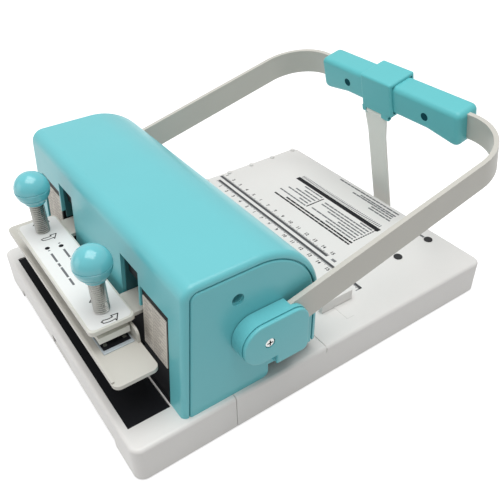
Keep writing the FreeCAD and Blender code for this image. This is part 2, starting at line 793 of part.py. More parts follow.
skin_form, skin_sketch = cover_form("skin", "0", "deck_z", "stop_y", "cover_half_length * 2")
skin_round = soften("skin_round", skin_form, "cover_end_radius", end_edges(number("cover_half_length")))
skin_inside, inside_sketch = cover_form("skin_inside", "cover_wall", "deck_z - over_cut", "stop_y",
                                        "cover_half_length * 2 + over_cut * 2")
nose_under = box("nose_under", ("-cover_half_length - over_cut", "cover_half_length + over_cut"),
                 ("cover_y + cover_wall * 2", "cover_nose_y - cover_wall"),
                 ("deck_z - over_cut", "cover_nose_z + over_cut"))
wall_y = ("cover_y - over_cut", "cover_top_y + cover_wall * 2")
below_z = "deck_z - over_cut"
front_cuts = [box("front_mouth", ("-window_half_width", "window_half_width"), wall_y,
                  (below_z, "deck_z + panel_height"))]
for side, sign in sides:
    window_x = across(sign, "window_post_x", "window_half_width")
    slot_x = across(sign, "slot_x - slot_width / 2", "slot_x + slot_width / 2")
    front_cuts.append(box(f"front_window_{side}", window_x, wall_y, (below_z, "deck_z + window_height")))
    front_cuts.append(box(f"front_slot_{side}", slot_x, wall_y, (below_z, "deck_z + slot_height")))
part(cut("cover_skin", skin_round, [skin_inside, nose_under] + front_cuts), "cover_skin")


# End plates, each with a deep screw seat that stands on the frame's side plate
def end_plate(side, sign):
    start = across(sign, "end_inner_x", "end_outer_x")[0]
    body, sketch = cover_form(f"end_{side}", "(cover_wall + end_plate_gap)", "deck_z", "end_foot_y",
                              "end_plate_thickness", start)
    round_corners(body, sketch, "end_foot_radius", [5])
    eased = soften(f"end_eased_{side}", body, "end_plate_edge_radius",
                   end_edges(number("end_outer_x")))
    seat_x = across(sign, "side_outer_x", "end_inner_x + end_plate_thickness / 2")
    seat = rod(f"end_seat_{side}", "X", "screw_head_radius + slip_gap * 2 + screw_seat_wall",
               (seat_x[0], "cover_screw_y", "cover_screw_z"),
               "end_inner_x + end_plate_thickness / 2 - side_outer_x")
    through_x = across(sign, "side_outer_x - over_cut", "end_outer_x + over_cut")
    through = "end_outer_x - side_outer_x + over_cut * 2"
    shaft_hole = rod(f"end_shaft_hole_{side}", "X", "shaft_radius + slip_gap * 2",
                     (through_x[0], "pivot_y", "pivot_z"), through)
    screw_hole = rod(f"end_screw_hole_{side}", "X", "screw_radius + running_gap",
                     (through_x[0], "cover_screw_y", "cover_screw_z"), through)
    head_x = across(sign, "side_outer_x + screw_seat", "end_outer_x + over_cut")
    head_hole = rod(f"end_head_hole_{side}", "X", "screw_head_radius + slip_gap * 2",
                    (head_x[0], "cover_screw_y", "cover_screw_z"),
                    "end_outer_x + over_cut - side_outer_x - screw_seat")
    part(cut(f"end_plate_{side}", join(f"end_seated_{side}", [eased, seat]),
             [shaft_hole, screw_hole, head_hole]), f"end_plate_{side}")


both_sides(end_plate)
cover_screws = []
for side, sign in sides:
    y = "cover_screw_y"
    z = "cover_screw_z"
    head_x = across(sign, "side_outer_x + screw_seat", "side_outer_x + screw_seat + screw_head_height")
    shank_x = across(sign, "side_inner_x - screw_end", "side_outer_x + screw_seat")
    head = rod(f"cover_head_{side}", "X", "screw_head_radius", (head_x[0], y, z), "screw_head_height")
    shank = rod(f"cover_shank_{side}", "X", "screw_radius", (shank_x[0], y, z),
                "side_thickness + screw_end + screw_seat")
    cover_screws.append(join(f"cover_screw_{side}", [head, shank]))
part(group("cover_screws", cover_screws), "cover_screws")

# Closer bed on a tongue that passes under the front panel, with its anvil strip
bed_sheet = box("bed_sheet", ("-bed_half_length", "bed_half_length"), ("bed_front_y", "bed_back_y"),
                ("bed_low_z", "bed_top_z"))
bed_round = soften("bed_round", bed_sheet, "bed_corner_radius",
                   lambda b: b.ZLength > 1 and b.XLength < 0.01 and b.YLength < 0.01)
bed_lip = box("bed_lip", ("bed_corner_radius - bed_half_length", "bed_half_length - bed_corner_radius"),
              ("bed_front_y", "bed_front_y + flange_thickness"), ("bed_low_z", "bed_top_z + bed_lip"))
bed_flange = box("bed_flange", ("-flange_half_length", "flange_half_length"),
                 ("bed_back_y - flange_thickness", "bed_back_y"), ("bed_low_z", "bed_top_z + flange_height"))
flange_round = soften("flange_round", bed_flange, "bed_corner_radius",
                      lambda b: b.YLength > 1 and b.XLength < 0.01 and b.ZMin > number("bed_top_z"))
bed_tongue = box("bed_tongue", ("-tongue_half_width", "tongue_half_width"),
                 ("bed_back_y - flange_thickness", "plate_front_y"), ("bed_low_z", "bed_top_z"))
bed_tab = box("bed_tab", ("-tongue_half_width", "tongue_half_width"),
              ("plate_front_y - flange_thickness", "plate_front_y"), ("bed_low_z - tab_drop", "bed_top_z"))
bed_holes = [rod(f"bed_hole_{side}", "Y", "screw_radius + running_gap",
                 (f"{sign} * bed_screw_x", "plate_front_y - flange_thickness - over_cut", "bed_screw_z"),
                 "flange_thickness + over_cut * 2")
             for side, sign in sides]
part(cut("closer_bed", join("bed_solid", [bed_round, bed_lip, flange_round, bed_tongue, bed_tab]), bed_holes),
     "closer_bed")
bed_screws = []
for side, sign in sides:
    x = f"{sign} * bed_screw_x"
    seat_y = "plate_front_y - flange_thickness"
    head = rod(f"bed_head_{side}", "Y", "screw_head_radius",
               (x, f"{seat_y} - screw_head_height", "bed_screw_z"), "screw_head_height")
    shank = rod(f"bed_shank_{side}", "Y", "screw_radius", (x, seat_y, "bed_screw_z"),
                "flange_thickness + frame_thickness + screw_end")
    bed_screws.append(join(f"bed_screw_{side}", [head, shank]))
part(group("bed_screws", bed_screws), "bed_screws")
part(box("closer_anvil", ("-anvil_half_length", "anvil_half_length"),
         ("stud_y - press_depth / 2", "stud_y + press_depth / 2"),
         ("bed_top_z", "bed_top_z + anvil_thickness")), "closer_anvil")


# Label holders: blocks that fill the cover's windows, each with a card on its leaning face
def leaning(name, span, sign, low_z, high_z, front, back):
    """A slab between two heights whose front, and back if asked, leans with the cover's rear wall."""
    def face_y(depth, z):
        return f"cover_y + {depth} + cover_lean * ({z} - deck_z) / cover_height"
    backs = [back, back] if back == "plate_front_y" else [face_y(back, high_z), face_y(back, low_z)]
    inner, outer = span
    body, sketch = outline(name, "YZ_Plane", [
        (face_y(front, low_z), low_z),
        (face_y(front, high_z), high_z),
        (backs[0], high_z),
        (backs[1], low_z),
    ], f"{outer} - ({inner})", across(sign, inner, outer)[0])
    return body


part(group("label_holders", [
    leaning(f"holder_{side}", ("window_post_x + slip_gap", "window_half_width - slip_gap"), sign,
            "holder_low_z", "holder_top_z", "holder_depth", "plate_front_y") for side, sign in sides]),
     "label_holders")
part(group("label_plates", [
    leaning(f"label_{side}", ("label_inner_x", "label_outer_x"), sign, "label_low_z", "label_high_z",
            "holder_depth - label_thickness", "holder_depth") for side, sign in sides]), "label_plates")

# Ram with its row of punch pins
ram_block = box("ram_block", ("-ram_half_width", "ram_half_width"), ("ram_back_y", "ram_front_y"),
                ("ram_z", "ram_top_z"))
post_holes = [rod(f"post_hole_{side}", "Z", "post_radius + running_gap",
                  (f"{sign} * post_x", "punch_y", "ram_z - over_cut"), "ram_height + over_cut * 2")
              for side, sign in sides]
part(cut("ram_bar", ram_block, post_holes), "ram_bar")
part(group("punch_pins", [
    rod(f"pin_{at}", "Z", "pin_radius", (f"{at} * punch_pitch - punch_row / 2", "punch_y", "pin_low_z"),
        "ram_z - pin_low_z") for at in range(int(number("punch_count")))]), "punch_pins")


# Lift brackets, which carry the closer's top plate on the ram
def lift_bracket(side, sign):
    start = "stud_x - arm_width / 2" if sign == "1" else "-stud_x - arm_width / 2"
    body, sketch = outline(f"bracket_{side}", "YZ_Plane", [
        ("stud_y - arm_front", "arm_low_z"),
        ("stud_y - arm_front", "closer_low_z"),
        ("leg_back_y", "closer_low_z"),
        ("leg_back_y", "bracket_foot_z + bracket_foot_height"),
        ("ram_back_y", "bracket_foot_z + bracket_foot_height"),
        ("ram_back_y", "bracket_foot_z"),
        ("leg_front_y", "bracket_foot_z"),
        ("leg_front_y", "arm_low_z"),
    ], "arm_width", start)
    stud_hole = rod(f"arm_stud_hole_{side}", "Z", "stud_radius + running_gap",
                    (f"{sign} * stud_x", "stud_y", "arm_low_z - over_cut"), "arm_thickness + over_cut * 2")
    part(cut(f"lift_bracket_{side}", body, [stud_hole]), f"lift_bracket_{side}")


both_sides(lift_bracket)
plate_block = box("plate_block", ("-closer_half_length", "closer_half_length"),
                  ("stud_y - closer_depth / 2", "stud_y + closer_depth / 2"),
                  ("closer_low_z", "closer_top_z"))
plate_round = soften("plate_round", plate_block, "closer_corner_radius",
                     lambda b: b.ZLength > 1 and b.XLength < 0.01 and b.YLength < 0.01)
plate_eased = soften("plate_eased", plate_round, "closer_edge_radius",
                     lambda b: abs(b.ZMin - number("closer_top_z")) < 0.01)
plate_holes = [rod(f"plate_hole_{side}", "Z", "stud_radius + running_gap",
                   (f"{sign} * stud_x", "stud_y", "closer_low_z - over_cut"),
                   "closer_plate_thickness + over_cut * 2")
               for side, sign in sides]
part(cut("closer_plate", plate_eased, plate_holes), "closer_plate")

# Press bar and the two threaded studs that set its height
press_block = box("press_block", ("-press_half_length", "press_half_length"),
                  ("stud_y - press_depth / 2", "stud_y + press_depth / 2"), ("press_low_z", "press_top_z"))
press_holes = [rod(f"press_hole_{side}", "Z", "stud_end_radius + running_gap",
                   (f"{sign} * stud_x", "stud_y", "press_top_z - stud_end_length - slip_gap"),
                   "stud_end_length + over_cut")
               for side, sign in sides]
part(cut("press_bar", press_block, press_holes), "press_bar")


def knob(side, sign):
    x = f"{sign} * stud_x"
    stem = rod(f"stud_stem_{side}", "Z", "stud_radius", (x, "stud_y", "press_top_z + slip_gap"),
               "stud_top_z - press_top_z - slip_gap")
    tip = rod(f"stud_tip_{side}", "Z", "stud_end_radius", (x, "stud_y", "press_top_z - stud_end_length"),
              "stud_end_length + slip_gap")
    part(join(f"knob_stud_{side}", [stem, tip]), f"knob_stud_{side}")
    globe = doc.addObject("Part::Sphere", f"ball_globe_{side}")
    bind(globe, Radius="ball_radius",
         Placement__Base__x=x, Placement__Base__y="stud_y", Placement__Base__z="ball_z")
    neck = rod(f"ball_neck_{side}", "Z", "ball_neck_radius",
               (x, "stud_y", "ball_z - sqrt(ball_radius ^ 2 - ball_neck_radius ^ 2) - ball_neck_height / 2"),
               "ball_neck_height")
    socket = rod(f"ball_socket_{side}", "Z", "stud_radius", (x, "stud_y", "ball_z - ball_radius * 2"),
                 "stud_top_z - ball_z + ball_radius * 2")
    part(cut(f"ball_knob_{side}", join(f"ball_solid_{side}", [globe, neck]), [socket]), f"ball_knob_{side}")


both_sides(knob)

# Pivot shaft and the cams that drive the ram
shaft_rod = rod("shaft_rod", "X", "shaft_radius", ("-shaft_half_length", "pivot_y", "pivot_z"),
                "shaft_half_length * 2")
shaft_taps = []
for side, sign in sides:
    span = across(sign, "shaft_half_length - hub_screw_length", "shaft_half_length + over_cut")
    shaft_taps.append(rod(f"shaft_tap_{side}", "X", "screw_radius", (span[0], "pivot_y", "pivot_z"),
                          "hub_screw_length + over_cut"))
part(cut("pivot_shaft", shaft_rod, shaft_taps), "pivot_shaft")


def cam(side, sign):
    span = across(sign, "cam_x - cam_thickness / 2", "cam_x + cam_thickness / 2")
    disc = rod(f"cam_disc_{side}", "X", "cam_radius", (span[0], "cam_y", "cam_z"), "cam_thickness")
    bore = rod(f"cam_bore_{side}", "X", "shaft_radius", (f"{span[0]} - over_cut", "pivot_y", "pivot_z"),
               "cam_thickness + over_cut * 2")
    part(cut(f"cam_{side}", disc, [bore]), f"cam_{side}")


both_sides(cam)

# Bail: one flat strip bent into a U, drawn flat and then set at its tilt
bail_body, bail_sketch = outline("bail", "XY_Plane", [
    ("-bail_half_width", "-bail_tail"),
    ("-bail_half_width", "bail_reach + bail_thickness / 2"),
    ("bail_half_width", "bail_reach + bail_thickness / 2"),
    ("bail_half_width", "-bail_tail"),
    ("bail_inner_x", "-bail_tail"),
    ("bail_inner_x", "bail_reach - bail_thickness / 2"),
    ("-bail_inner_x", "bail_reach - bail_thickness / 2"),
    ("-bail_inner_x", "-bail_tail"),
], "bail_height")
round_corners(bail_body, bail_sketch, "bail_bend", [1, 2])
round_corners(bail_body, bail_sketch, "bail_bend - bail_thickness", [5, 6])
bail_bore = rod("bail_bore", "X", "shaft_radius", ("-bail_half_width - over_cut", "0", "0"),
                "(bail_half_width + over_cut) * 2")


def grip_rods(name, radius, depth, length):
    """A pair of rods along the grip screws, from a depth below the grip's near face."""
    return [rod(f"{name}_{side}", "Y", radius,
                (f"{sign} * grip_screw_x", f"grip_near_u + {depth}", "0"), length) for side, sign in sides]


bail_holes = grip_rods("bail_hole", "screw_radius + running_gap", "0", "grip_depth")
part(swing(cut("bail", bail_body, [bail_bore] + bail_holes)), "bail")


# Grip halves that clamp round the bail's cross bar
def grip_half(name, low_u, high_u, outer_u, holes):
    body, sketch = outline(name, "XZ_Plane", [
        ("-grip_half_length", "grip_low_v"),
        ("-grip_half_length", "grip_top_v"),
        ("grip_half_length", "grip_top_v"),
        ("grip_half_length", "grip_low_v"),
        ("grip_arch_end", "grip_low_v"),
        ("grip_arch_half", "grip_low_v + grip_arch"),
        ("-grip_arch_half", "grip_low_v + grip_arch"),
        ("-grip_arch_end", "grip_low_v"),
    ], f"{high_u} - {low_u}", f"-{high_u}")
    round_corners(body, sketch, "grip_arch_radius", [4, 5, 6, 7])
    round_corners(body, sketch, "grip_end_radius", [0, 1, 2, 3])
    outer = number(outer_u)
    eased = soften(f"{name}_eased", body, "grip_edge_radius",
                   lambda b: b.YLength < 0.01 and abs(b.YMin - outer) < 0.01)
    slot = box(f"{name}_slot", ("-grip_half_length - over_cut", "grip_half_length + over_cut"),
               ("bail_reach - bail_thickness / 2", "bail_reach + bail_thickness / 2"),
               ("-bail_height / 2", "bail_height / 2"))
    part(swing(cut(name, eased, [slot] + holes)), name)


screw_reach = "grip_depth - grip_screw_recess * 2"
head_holes = grip_rods("grip_head_hole", "grip_head_radius + running_gap", "-over_cut",
                       "grip_screw_recess + screw_head_height + over_cut")
front_holes = grip_rods("grip_front_hole", "screw_radius + running_gap", "0", "grip_depth")
rear_holes = grip_rods("grip_rear_hole", "screw_radius + running_gap", "0", screw_reach)
grip_half("grip_front", "grip_near_u", "bail_reach", "grip_near_u", head_holes + front_holes)
grip_half("grip_rear", "bail_reach", "grip_far_u", "grip_far_u", rear_holes)
heads = grip_rods("grip_head", "grip_head_radius", "grip_screw_recess", "screw_head_height")
shanks = grip_rods("grip_shank", "screw_radius", "grip_screw_recess", f"{screw_reach} - grip_screw_recess")
grip_screws = [join(f"grip_screw_{at}", list(pair)) for at, pair in enumerate(zip(heads, shanks))]
part(swing(group("grip_screws", grip_screws)), "grip_screws")

# Saddle on the grip, with two rounded ears below its near wall that carry the strap's pin
saddle_block = box("saddle_block", ("saddle_x - saddle_width / 2", "saddle_x + saddle_width / 2"),
                   ("grip_near_u - saddle_wall", "grip_far_u + saddle_wall"),
                   ("saddle_low_v", "grip_top_v + saddle_wall"))
saddle_round = soften("saddle_round", saddle_block, "saddle_edge_radius", lambda b: True)
lug_low_x = "lug_x - lug_width / 2"
lug_block = box("lug_block", (lug_low_x, "lug_x + lug_width / 2"),
                ("grip_near_u - lug_depth / 2", "grip_near_u + lug_depth / 2"),
                ("lug_v", "saddle_low_v + saddle_wall / 2"))
lug_round = rod("lug_round", "X", "lug_depth / 2", (lug_low_x, "grip_near_u", "lug_v"), "lug_width")
grip_core = box("grip_core", ("-grip_half_length", "grip_half_length"), ("grip_near_u", "grip_far_u"),
                ("grip_low_v + grip_arch", "grip_top_v"))
lug_gap = box("lug_gap",
              ("strap_x - strap_neck_width / 2 - slip_gap", "strap_x + strap_neck_width / 2 + slip_gap"),
              ("grip_near_u - lug_depth", "grip_near_u + lug_depth"), ("lug_v - lug_drop", "saddle_low_v"))
lug_pin_hole = rod("lug_pin_hole", "X", "strap_pin_radius",
                   (f"{lug_low_x} - over_cut", "grip_near_u", "lug_v"), "lug_width + over_cut * 2")
part(swing(cut("saddle", join("saddle_solid", [saddle_round, lug_block, lug_round]),
               [grip_core, lug_gap, lug_pin_hole])), "saddle")
pin_rod = rod("strap_pin_rod", "X", "strap_pin_radius", (lug_low_x, "grip_near_u", "lug_v"), "lug_width")
part(swing(group("strap_pin", [pin_rod])), "strap_pin")

# Hold-down strap: a tapered strip with a narrow neck rolled round the pin
strap_sheet, strap_sketch = outline("strap_sheet", "XZ_Plane", [
    ("strap_x - strap_top_width / 2", "strap_top_v"),
    ("strap_x + strap_top_width / 2", "strap_top_v"),
    ("strap_x + strap_width / 2", "strap_top_v - strap_taper"),
    ("strap_x + strap_width / 2", "strap_low_v"),
    ("strap_x - strap_width / 2", "strap_low_v"),
    ("strap_x - strap_width / 2", "strap_top_v - strap_taper"),
], "strap_thickness", "-grip_near_u - strap_thickness / 2")
round_corners(strap_sheet, strap_sketch, "strap_corner_radius", [3, 4])
neck_x = ("strap_x - strap_neck_width / 2", "strap_x + strap_neck_width / 2")
strap_neck = box("strap_neck", neck_x,
                 ("grip_near_u - strap_thickness / 2", "grip_near_u + strap_thickness / 2"),
                 ("strap_top_v - strap_thickness", "lug_v"))
strap_barrel = rod("strap_barrel", "X", "strap_barrel_radius", (neck_x[0], "grip_near_u", "lug_v"),
                   "strap_neck_width")
strap_bore = rod("strap_bore", "X", "strap_pin_radius + running_gap",
                 (f"{neck_x[0]} - over_cut", "grip_near_u", "lug_v"), "strap_neck_width + over_cut * 2")
part(swing(cut("hold_strap", join("strap_solid", [strap_sheet, strap_neck, strap_barrel]), [strap_bore])),
     "hold_strap")


# Hub caps over the bail's ends, each held by a screw into the shaft
def hub_slice(name, sign, inset, inner_x, outer_x):
    """A slice of the hub cap's form, drawn inside itself by an inset."""
    body, sketch = outline(name, "YZ_Plane", [
        (f"pivot_y - hub_left + {inset}", f"pivot_z - hub_lobe + {inset}"),
        (f"pivot_y - hub_left + {inset}", f"pivot_z + hub_top - {inset}"),
        (f"pivot_y + hub_right - {inset}", f"pivot_z + hub_top - {inset}"),
        (f"pivot_y + hub_right - {inset}", f"pivot_z - hub_bottom + {inset}"),
        (f"pivot_y + hub_leg + {inset}", f"pivot_z - hub_bottom + {inset}"),
        (f"pivot_y + hub_leg + {inset}", f"pivot_z - hub_lobe + {inset}"),
    ], f"{outer_x} - ({inner_x})", across(sign, inner_x, outer_x)[0])
    round_corners(body, sketch, f"hub_round - {inset}", [0, 1])
    round_corners(body, sketch, f"hub_corner - {inset}", [2])
    round_corners(body, sketch, f"hub_low_corner - {inset}", [3])
    return body


def hub_cap(side, sign):
    plate_x = "hub_face_x - hub_plate_thickness"
    groove_x = "hub_face_x - hub_plate_thickness - hub_groove_width"
    body = hub_slice(f"hub_{side}", sign, "0", "hub_inner_x", groove_x)
    neck = hub_slice(f"hub_neck_{side}", sign, "hub_groove_depth", groove_x, plate_x)
    plate = hub_slice(f"hub_plate_{side}", sign, "hub_plate_inset", plate_x, "hub_face_x")
    face = number("hub_face_x")
    eased = soften(f"hub_eased_{side}", plate, "hub_edge_radius",
                   lambda b: b.XLength < 0.01 and abs(abs(b.XMin) - face) < 0.01)
    strip = swing(group(f"hub_strip_{side}", [
        box(f"hub_channel_{side}", across(sign, "hub_inner_x - over_cut", "bail_half_width"),
            ("-bail_tail", "hub_right * 2"), ("-bail_height / 2", "bail_height / 2"))]))
    bore_x = across(sign, "hub_inner_x - over_cut", "shaft_half_length")
    bore = rod(f"hub_bore_{side}", "X", "shaft_radius", (bore_x[0], "pivot_y", "pivot_z"),
               "shaft_half_length - hub_inner_x + over_cut")
    screw_x = across(sign, "shaft_half_length - over_cut", "hub_face_x + over_cut")
    screw_hole = rod(f"hub_screw_hole_{side}", "X", "screw_head_radius", (screw_x[0], "pivot_y", "pivot_z"),
                     "hub_face_x - shaft_half_length + over_cut * 2")
    part(cut(f"hub_cap_{side}", join(f"hub_solid_{side}", [body, neck, eased]),
             [strip, bore, screw_hole]), f"hub_cap_{side}")


both_sides(hub_cap)
hub_screws = []
for side, sign in sides:
    head_x = across(sign, "shaft_half_length", "shaft_half_length + hub_screw_recess")
    shank_x = across(sign, "shaft_half_length - hub_screw_length", "shaft_half_length")
    head = rod(f"hub_head_{side}", "X", "screw_head_radius", (head_x[0], "pivot_y", "pivot_z"),
               "hub_screw_recess")
    shank = rod(f"hub_shank_{side}", "X", "screw_radius", (shank_x[0], "pivot_y", "pivot_z"),
                "hub_screw_length")
    hub_screws.append(join(f"hub_screw_{side}", [head, shank]))
part(group("hub_screws", hub_screws), "hub_screws")

# Paper guide on the deck: a fence on a stem through a slot, with its clamp nut below
fence = box("fence", ("guide_x - guide_width / 2", "guide_x + guide_width / 2"),
            ("guide_y", "guide_y + guide_length"), ("deck_z + slip_gap", "deck_z + guide_height"))
fence_foot = number("deck_z") + number("over_cut")
fence_round = soften("fence_round", fence, "closer_edge_radius", lambda b: b.ZMax > fence_foot)
stem = rod("guide_stem", "Z", "guide_stem_radius",
           ("guide_x", "guide_mid_y", "deck_under_z - guide_nut_height"),
           "deck_thickness + guide_nut_height + slip_gap")
part(join("paper_guide", [fence_round, stem]), "paper_guide")
nut_disc = rod("nut_disc", "Z", "guide_nut_radius",
               ("guide_x", "guide_mid_y", "deck_under_z - slip_gap - guide_nut_height"), "guide_nut_height")
nut_bore = rod("nut_bore", "Z", "guide_stem_radius",
               ("guide_x", "guide_mid_y", "deck_under_z - guide_nut_height * 3"), "guide_nut_height * 4")
part(cut("guide_nut", nut_disc, [nut_bore]), "guide_nut")

doc.recompute()
faults = [item.Name for item in doc.Objects if any(word in ("Invalid", "Error") for word in item.State)]
for item in parts:
    if item.Shape.isNull() or not item.Shape.isValid():
        faults.append(item.Label)
if faults:
    raise RuntimeError(f"failed pieces: {faults}")

os.makedirs("parts", exist_ok=True)
for item in parts:
    item.Shape.exportStep(f"parts/{item.Label}.step")
    limits = item.Shape.BoundBox
    print(item.Label, len(item.Shape.Solids), round(item.Shape.Volume), [round(v, 2) for v in (
        limits.XMin, limits.XMax, limits.YMin, limits.YMax, limits.ZMin, limits.ZMax)])
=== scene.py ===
"""Looks of a desktop binding punch with a wire closer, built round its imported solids."""
import json
import math
import random

import bmesh
import bpy
from mathutils import Matrix, Quaternion, Vector

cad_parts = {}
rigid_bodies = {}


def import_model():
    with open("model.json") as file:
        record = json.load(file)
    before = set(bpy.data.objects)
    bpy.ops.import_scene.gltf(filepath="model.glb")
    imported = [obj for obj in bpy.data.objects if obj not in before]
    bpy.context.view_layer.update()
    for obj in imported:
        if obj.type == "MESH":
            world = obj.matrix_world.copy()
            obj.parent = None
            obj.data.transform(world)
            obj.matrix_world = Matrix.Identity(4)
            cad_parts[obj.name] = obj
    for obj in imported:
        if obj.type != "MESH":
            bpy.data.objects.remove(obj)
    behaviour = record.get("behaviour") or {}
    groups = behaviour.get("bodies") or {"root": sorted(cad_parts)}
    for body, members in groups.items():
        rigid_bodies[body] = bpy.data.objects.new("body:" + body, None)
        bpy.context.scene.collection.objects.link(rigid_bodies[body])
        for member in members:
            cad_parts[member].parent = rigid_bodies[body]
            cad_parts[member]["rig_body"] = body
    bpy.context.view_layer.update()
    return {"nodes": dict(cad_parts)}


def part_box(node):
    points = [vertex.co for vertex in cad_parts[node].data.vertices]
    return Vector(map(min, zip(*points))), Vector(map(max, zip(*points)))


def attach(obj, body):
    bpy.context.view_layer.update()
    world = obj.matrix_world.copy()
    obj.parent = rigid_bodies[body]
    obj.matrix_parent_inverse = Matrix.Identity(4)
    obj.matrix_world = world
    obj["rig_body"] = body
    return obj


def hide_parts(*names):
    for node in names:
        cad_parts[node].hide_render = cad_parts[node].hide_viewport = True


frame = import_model()

# Camera: a short telephoto on the closer's side, above the right end of the cover.
# Its place and lens come from the edges of the base in the reference view.
scene = bpy.context.scene
camera = bpy.data.objects.new("camera", bpy.data.cameras.new("camera"))
camera.data.lens = 43.71
camera.data.sensor_width = 36.0
camera.data.clip_start = 0.01
camera.location = (0.3689, -0.25208, 0.3722)
heading, dip, roll = math.radians(145.56), math.radians(37.18), math.radians(-0.95)
sight = Vector((math.cos(dip) * math.cos(heading), math.cos(dip) * math.sin(heading), -math.sin(dip)))
camera.rotation_mode = "QUATERNION"
camera.rotation_quaternion = sight.to_track_quat("-Z", "Y") @ Quaternion((0, 0, 1), roll)
scene.collection.objects.link(camera)
scene.camera = camera
scene.view_settings.view_transform = "Standard"


# Base shells: two off-white ABS mouldings with a satin, very finely grained skin.
# They meet under the cover, and carry the pit, the seams and the nubs along one edge.
def shader_group(name, inputs, outputs):
    """An empty shader node group with named sockets: (name, kind, default) for each input."""
    group = bpy.data.node_groups.new(name, "ShaderNodeTree")
    for label, kind, value in inputs:
        socket = group.interface.new_socket(label, in_out="INPUT", socket_type=kind)
        socket.default_value = value
    for label, kind in outputs:
        group.interface.new_socket(label, in_out="OUTPUT", socket_type=kind)
    return group, group.nodes.new("NodeGroupInput"), group.nodes.new("NodeGroupOutput")


def node(tree, kind, **settings):
    """A node with properties and input values set by name."""
    made = tree.nodes.new(kind)
    for key, value in settings.items():
        if key in made.inputs:
            made.inputs[key].default_value = value
        else:
            setattr(made, key, value)
    return made


def scaled(tree, value, factor, offset):
    """A math node giving value * factor + offset, where each is a number or an output socket."""
    made = node(tree, "ShaderNodeMath", operation="MULTIPLY_ADD")
    for slot, given in zip(made.inputs, (value, factor, offset)):
        if isinstance(given, (int, float)):
            slot.default_value = given
        else:
            tree.links.new(given, slot)
    return made.outputs[0]


def tinted(tree, color, share):
    """A colour socket made lighter or darker by a factor that changes over the surface."""
    made = node(tree, "ShaderNodeVectorMath", operation="SCALE")
    tree.links.new(color, made.inputs[0])
    tree.links.new(share, made.inputs["Scale"])
    return made.outputs[0]


skin_inputs = (
    ("Color", "NodeSocketColor", (0.8, 0.8, 0.8, 1)),
    ("Drift", "NodeSocketFloat", 0.05),
    ("Roughness", "NodeSocketFloat", 0.4),
    ("Marks", "NodeSocketFloat", 0.08),
)
skin_outputs = (
    ("Color", "NodeSocketColor"),
    ("Roughness", "NodeSocketFloat"),
    ("Height", "NodeSocketFloat"),
)


def skin_group(name, grain_scale, grain_detail, stretch=(1, 1, 1)):
    """Slow tint drift, handling marks in the roughness, and a grain for a bump, stretched if drawn."""
    least_shade, grain_share = 0.975, 0.5
    group, given, result = shader_group(name, skin_inputs, skin_outputs)
    coords = node(group, "ShaderNodeTexCoord")
    turned = node(group, "ShaderNodeMapping", Scale=stretch)
    slow = node(group, "ShaderNodeTexNoise", Scale=22.0, Detail=3.0)
    smear = node(group, "ShaderNodeTexNoise", Scale=70.0, Detail=6.0, Roughness=0.65)
    grain = node(group, "ShaderNodeTexNoise", Scale=grain_scale, Detail=grain_detail)
    group.links.new(coords.outputs["Object"], turned.inputs["Vector"])
    group.links.new(turned.outputs["Vector"], grain.inputs["Vector"])
    for texture in (slow, smear):
        group.links.new(coords.outputs["Object"], texture.inputs["Vector"])
    shade = scaled(group, slow.outputs["Fac"], given.outputs["Drift"], least_shade)
    group.links.new(tinted(group, given.outputs["Color"], shade), result.inputs["Color"])
    centred = scaled(group, smear.outputs["Fac"], 1.0, -0.5)
    drawn = scaled(group, grain.outputs["Fac"], grain_share, -grain_share / 2)
    uneven = scaled(group, centred, 1.0, drawn)
    rough = scaled(group, uneven, given.outputs["Marks"], given.outputs["Roughness"])
    group.links.new(rough, result.inputs["Roughness"])
    group.links.new(grain.outputs["Fac"], result.inputs["Height"])
    return group


def linear(red, green, blue):
    """A screen colour of 0 to 255 per channel as scene-linear RGBA."""
    def channel(value):
        share = value / 255
        return share / 12.92 if share <= 0.04045 else ((share + 0.055) / 1.055) ** 2.4
    return (channel(red), channel(green), channel(blue), 1.0)


def finish(name, skin, color, rough, marks, grain, depth, drift=0.05, **values):
    """A material whose colour, roughness and bump come from a skin group; plain sockets are set by name."""
    material = bpy.data.materials.new(name)
    material.use_nodes = True
    tree = material.node_tree
    shader = tree.nodes["Principled BSDF"]
    for key, value in values.items():
        shader.inputs[key.replace("_", " ")].default_value = value
    surface = node(tree, "ShaderNodeGroup", node_tree=skin)
    surface.inputs["Color"].default_value = color
    surface.inputs["Drift"].default_value = drift
    surface.inputs["Roughness"].default_value = rough
    surface.inputs["Marks"].default_value = marks
    bump = node(tree, "ShaderNodeBump", Strength=grain, Distance=depth)
    tree.links.new(surface.outputs["Color"], shader.inputs["Base Color"])
    tree.links.new(surface.outputs["Roughness"], shader.inputs["Roughness"])
    tree.links.new(surface.outputs["Height"], bump.inputs["Height"])
    tree.links.new(bump.outputs["Normal"], shader.inputs["Normal"])
    return material


def mark_creases(work, angle):
    """Smooth shading, broken at edges sharper than the angle."""
    for face in work.faces:
        face.smooth = True
    for line in work.edges:
        line.smooth = len(line.link_faces) == 2 and line.calc_face_angle() < math.radians(angle)


def piece(name, work, material, body, angle=35):
    """A finished mesh as an object that rides on a body and takes a finish."""
    mark_creases(work, angle)
    mesh = bpy.data.meshes.new(name)
    work.to_mesh(mesh)
    work.free()
    mesh.materials.append(material)
    made = bpy.data.objects.new(name, mesh)
    scene.collection.objects.link(made)
    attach(made, body)
    return made


mm = 0.001


def welded(name):
    """A copy of a solid's mesh with its triangles joined and its flat faces whole."""
    work = bmesh.new()
    work.from_mesh(frame["nodes"][name].data)
    bmesh.ops.remove_doubles(work, verts=work.verts, dist=0.004 * mm)
    bmesh.ops.dissolve_limit(work, angle_limit=math.radians(0.5), verts=work.verts, edges=work.edges)
    return work


def body_of(name):
    """The body that carries a solid."""
    return frame["nodes"][name]["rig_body"]


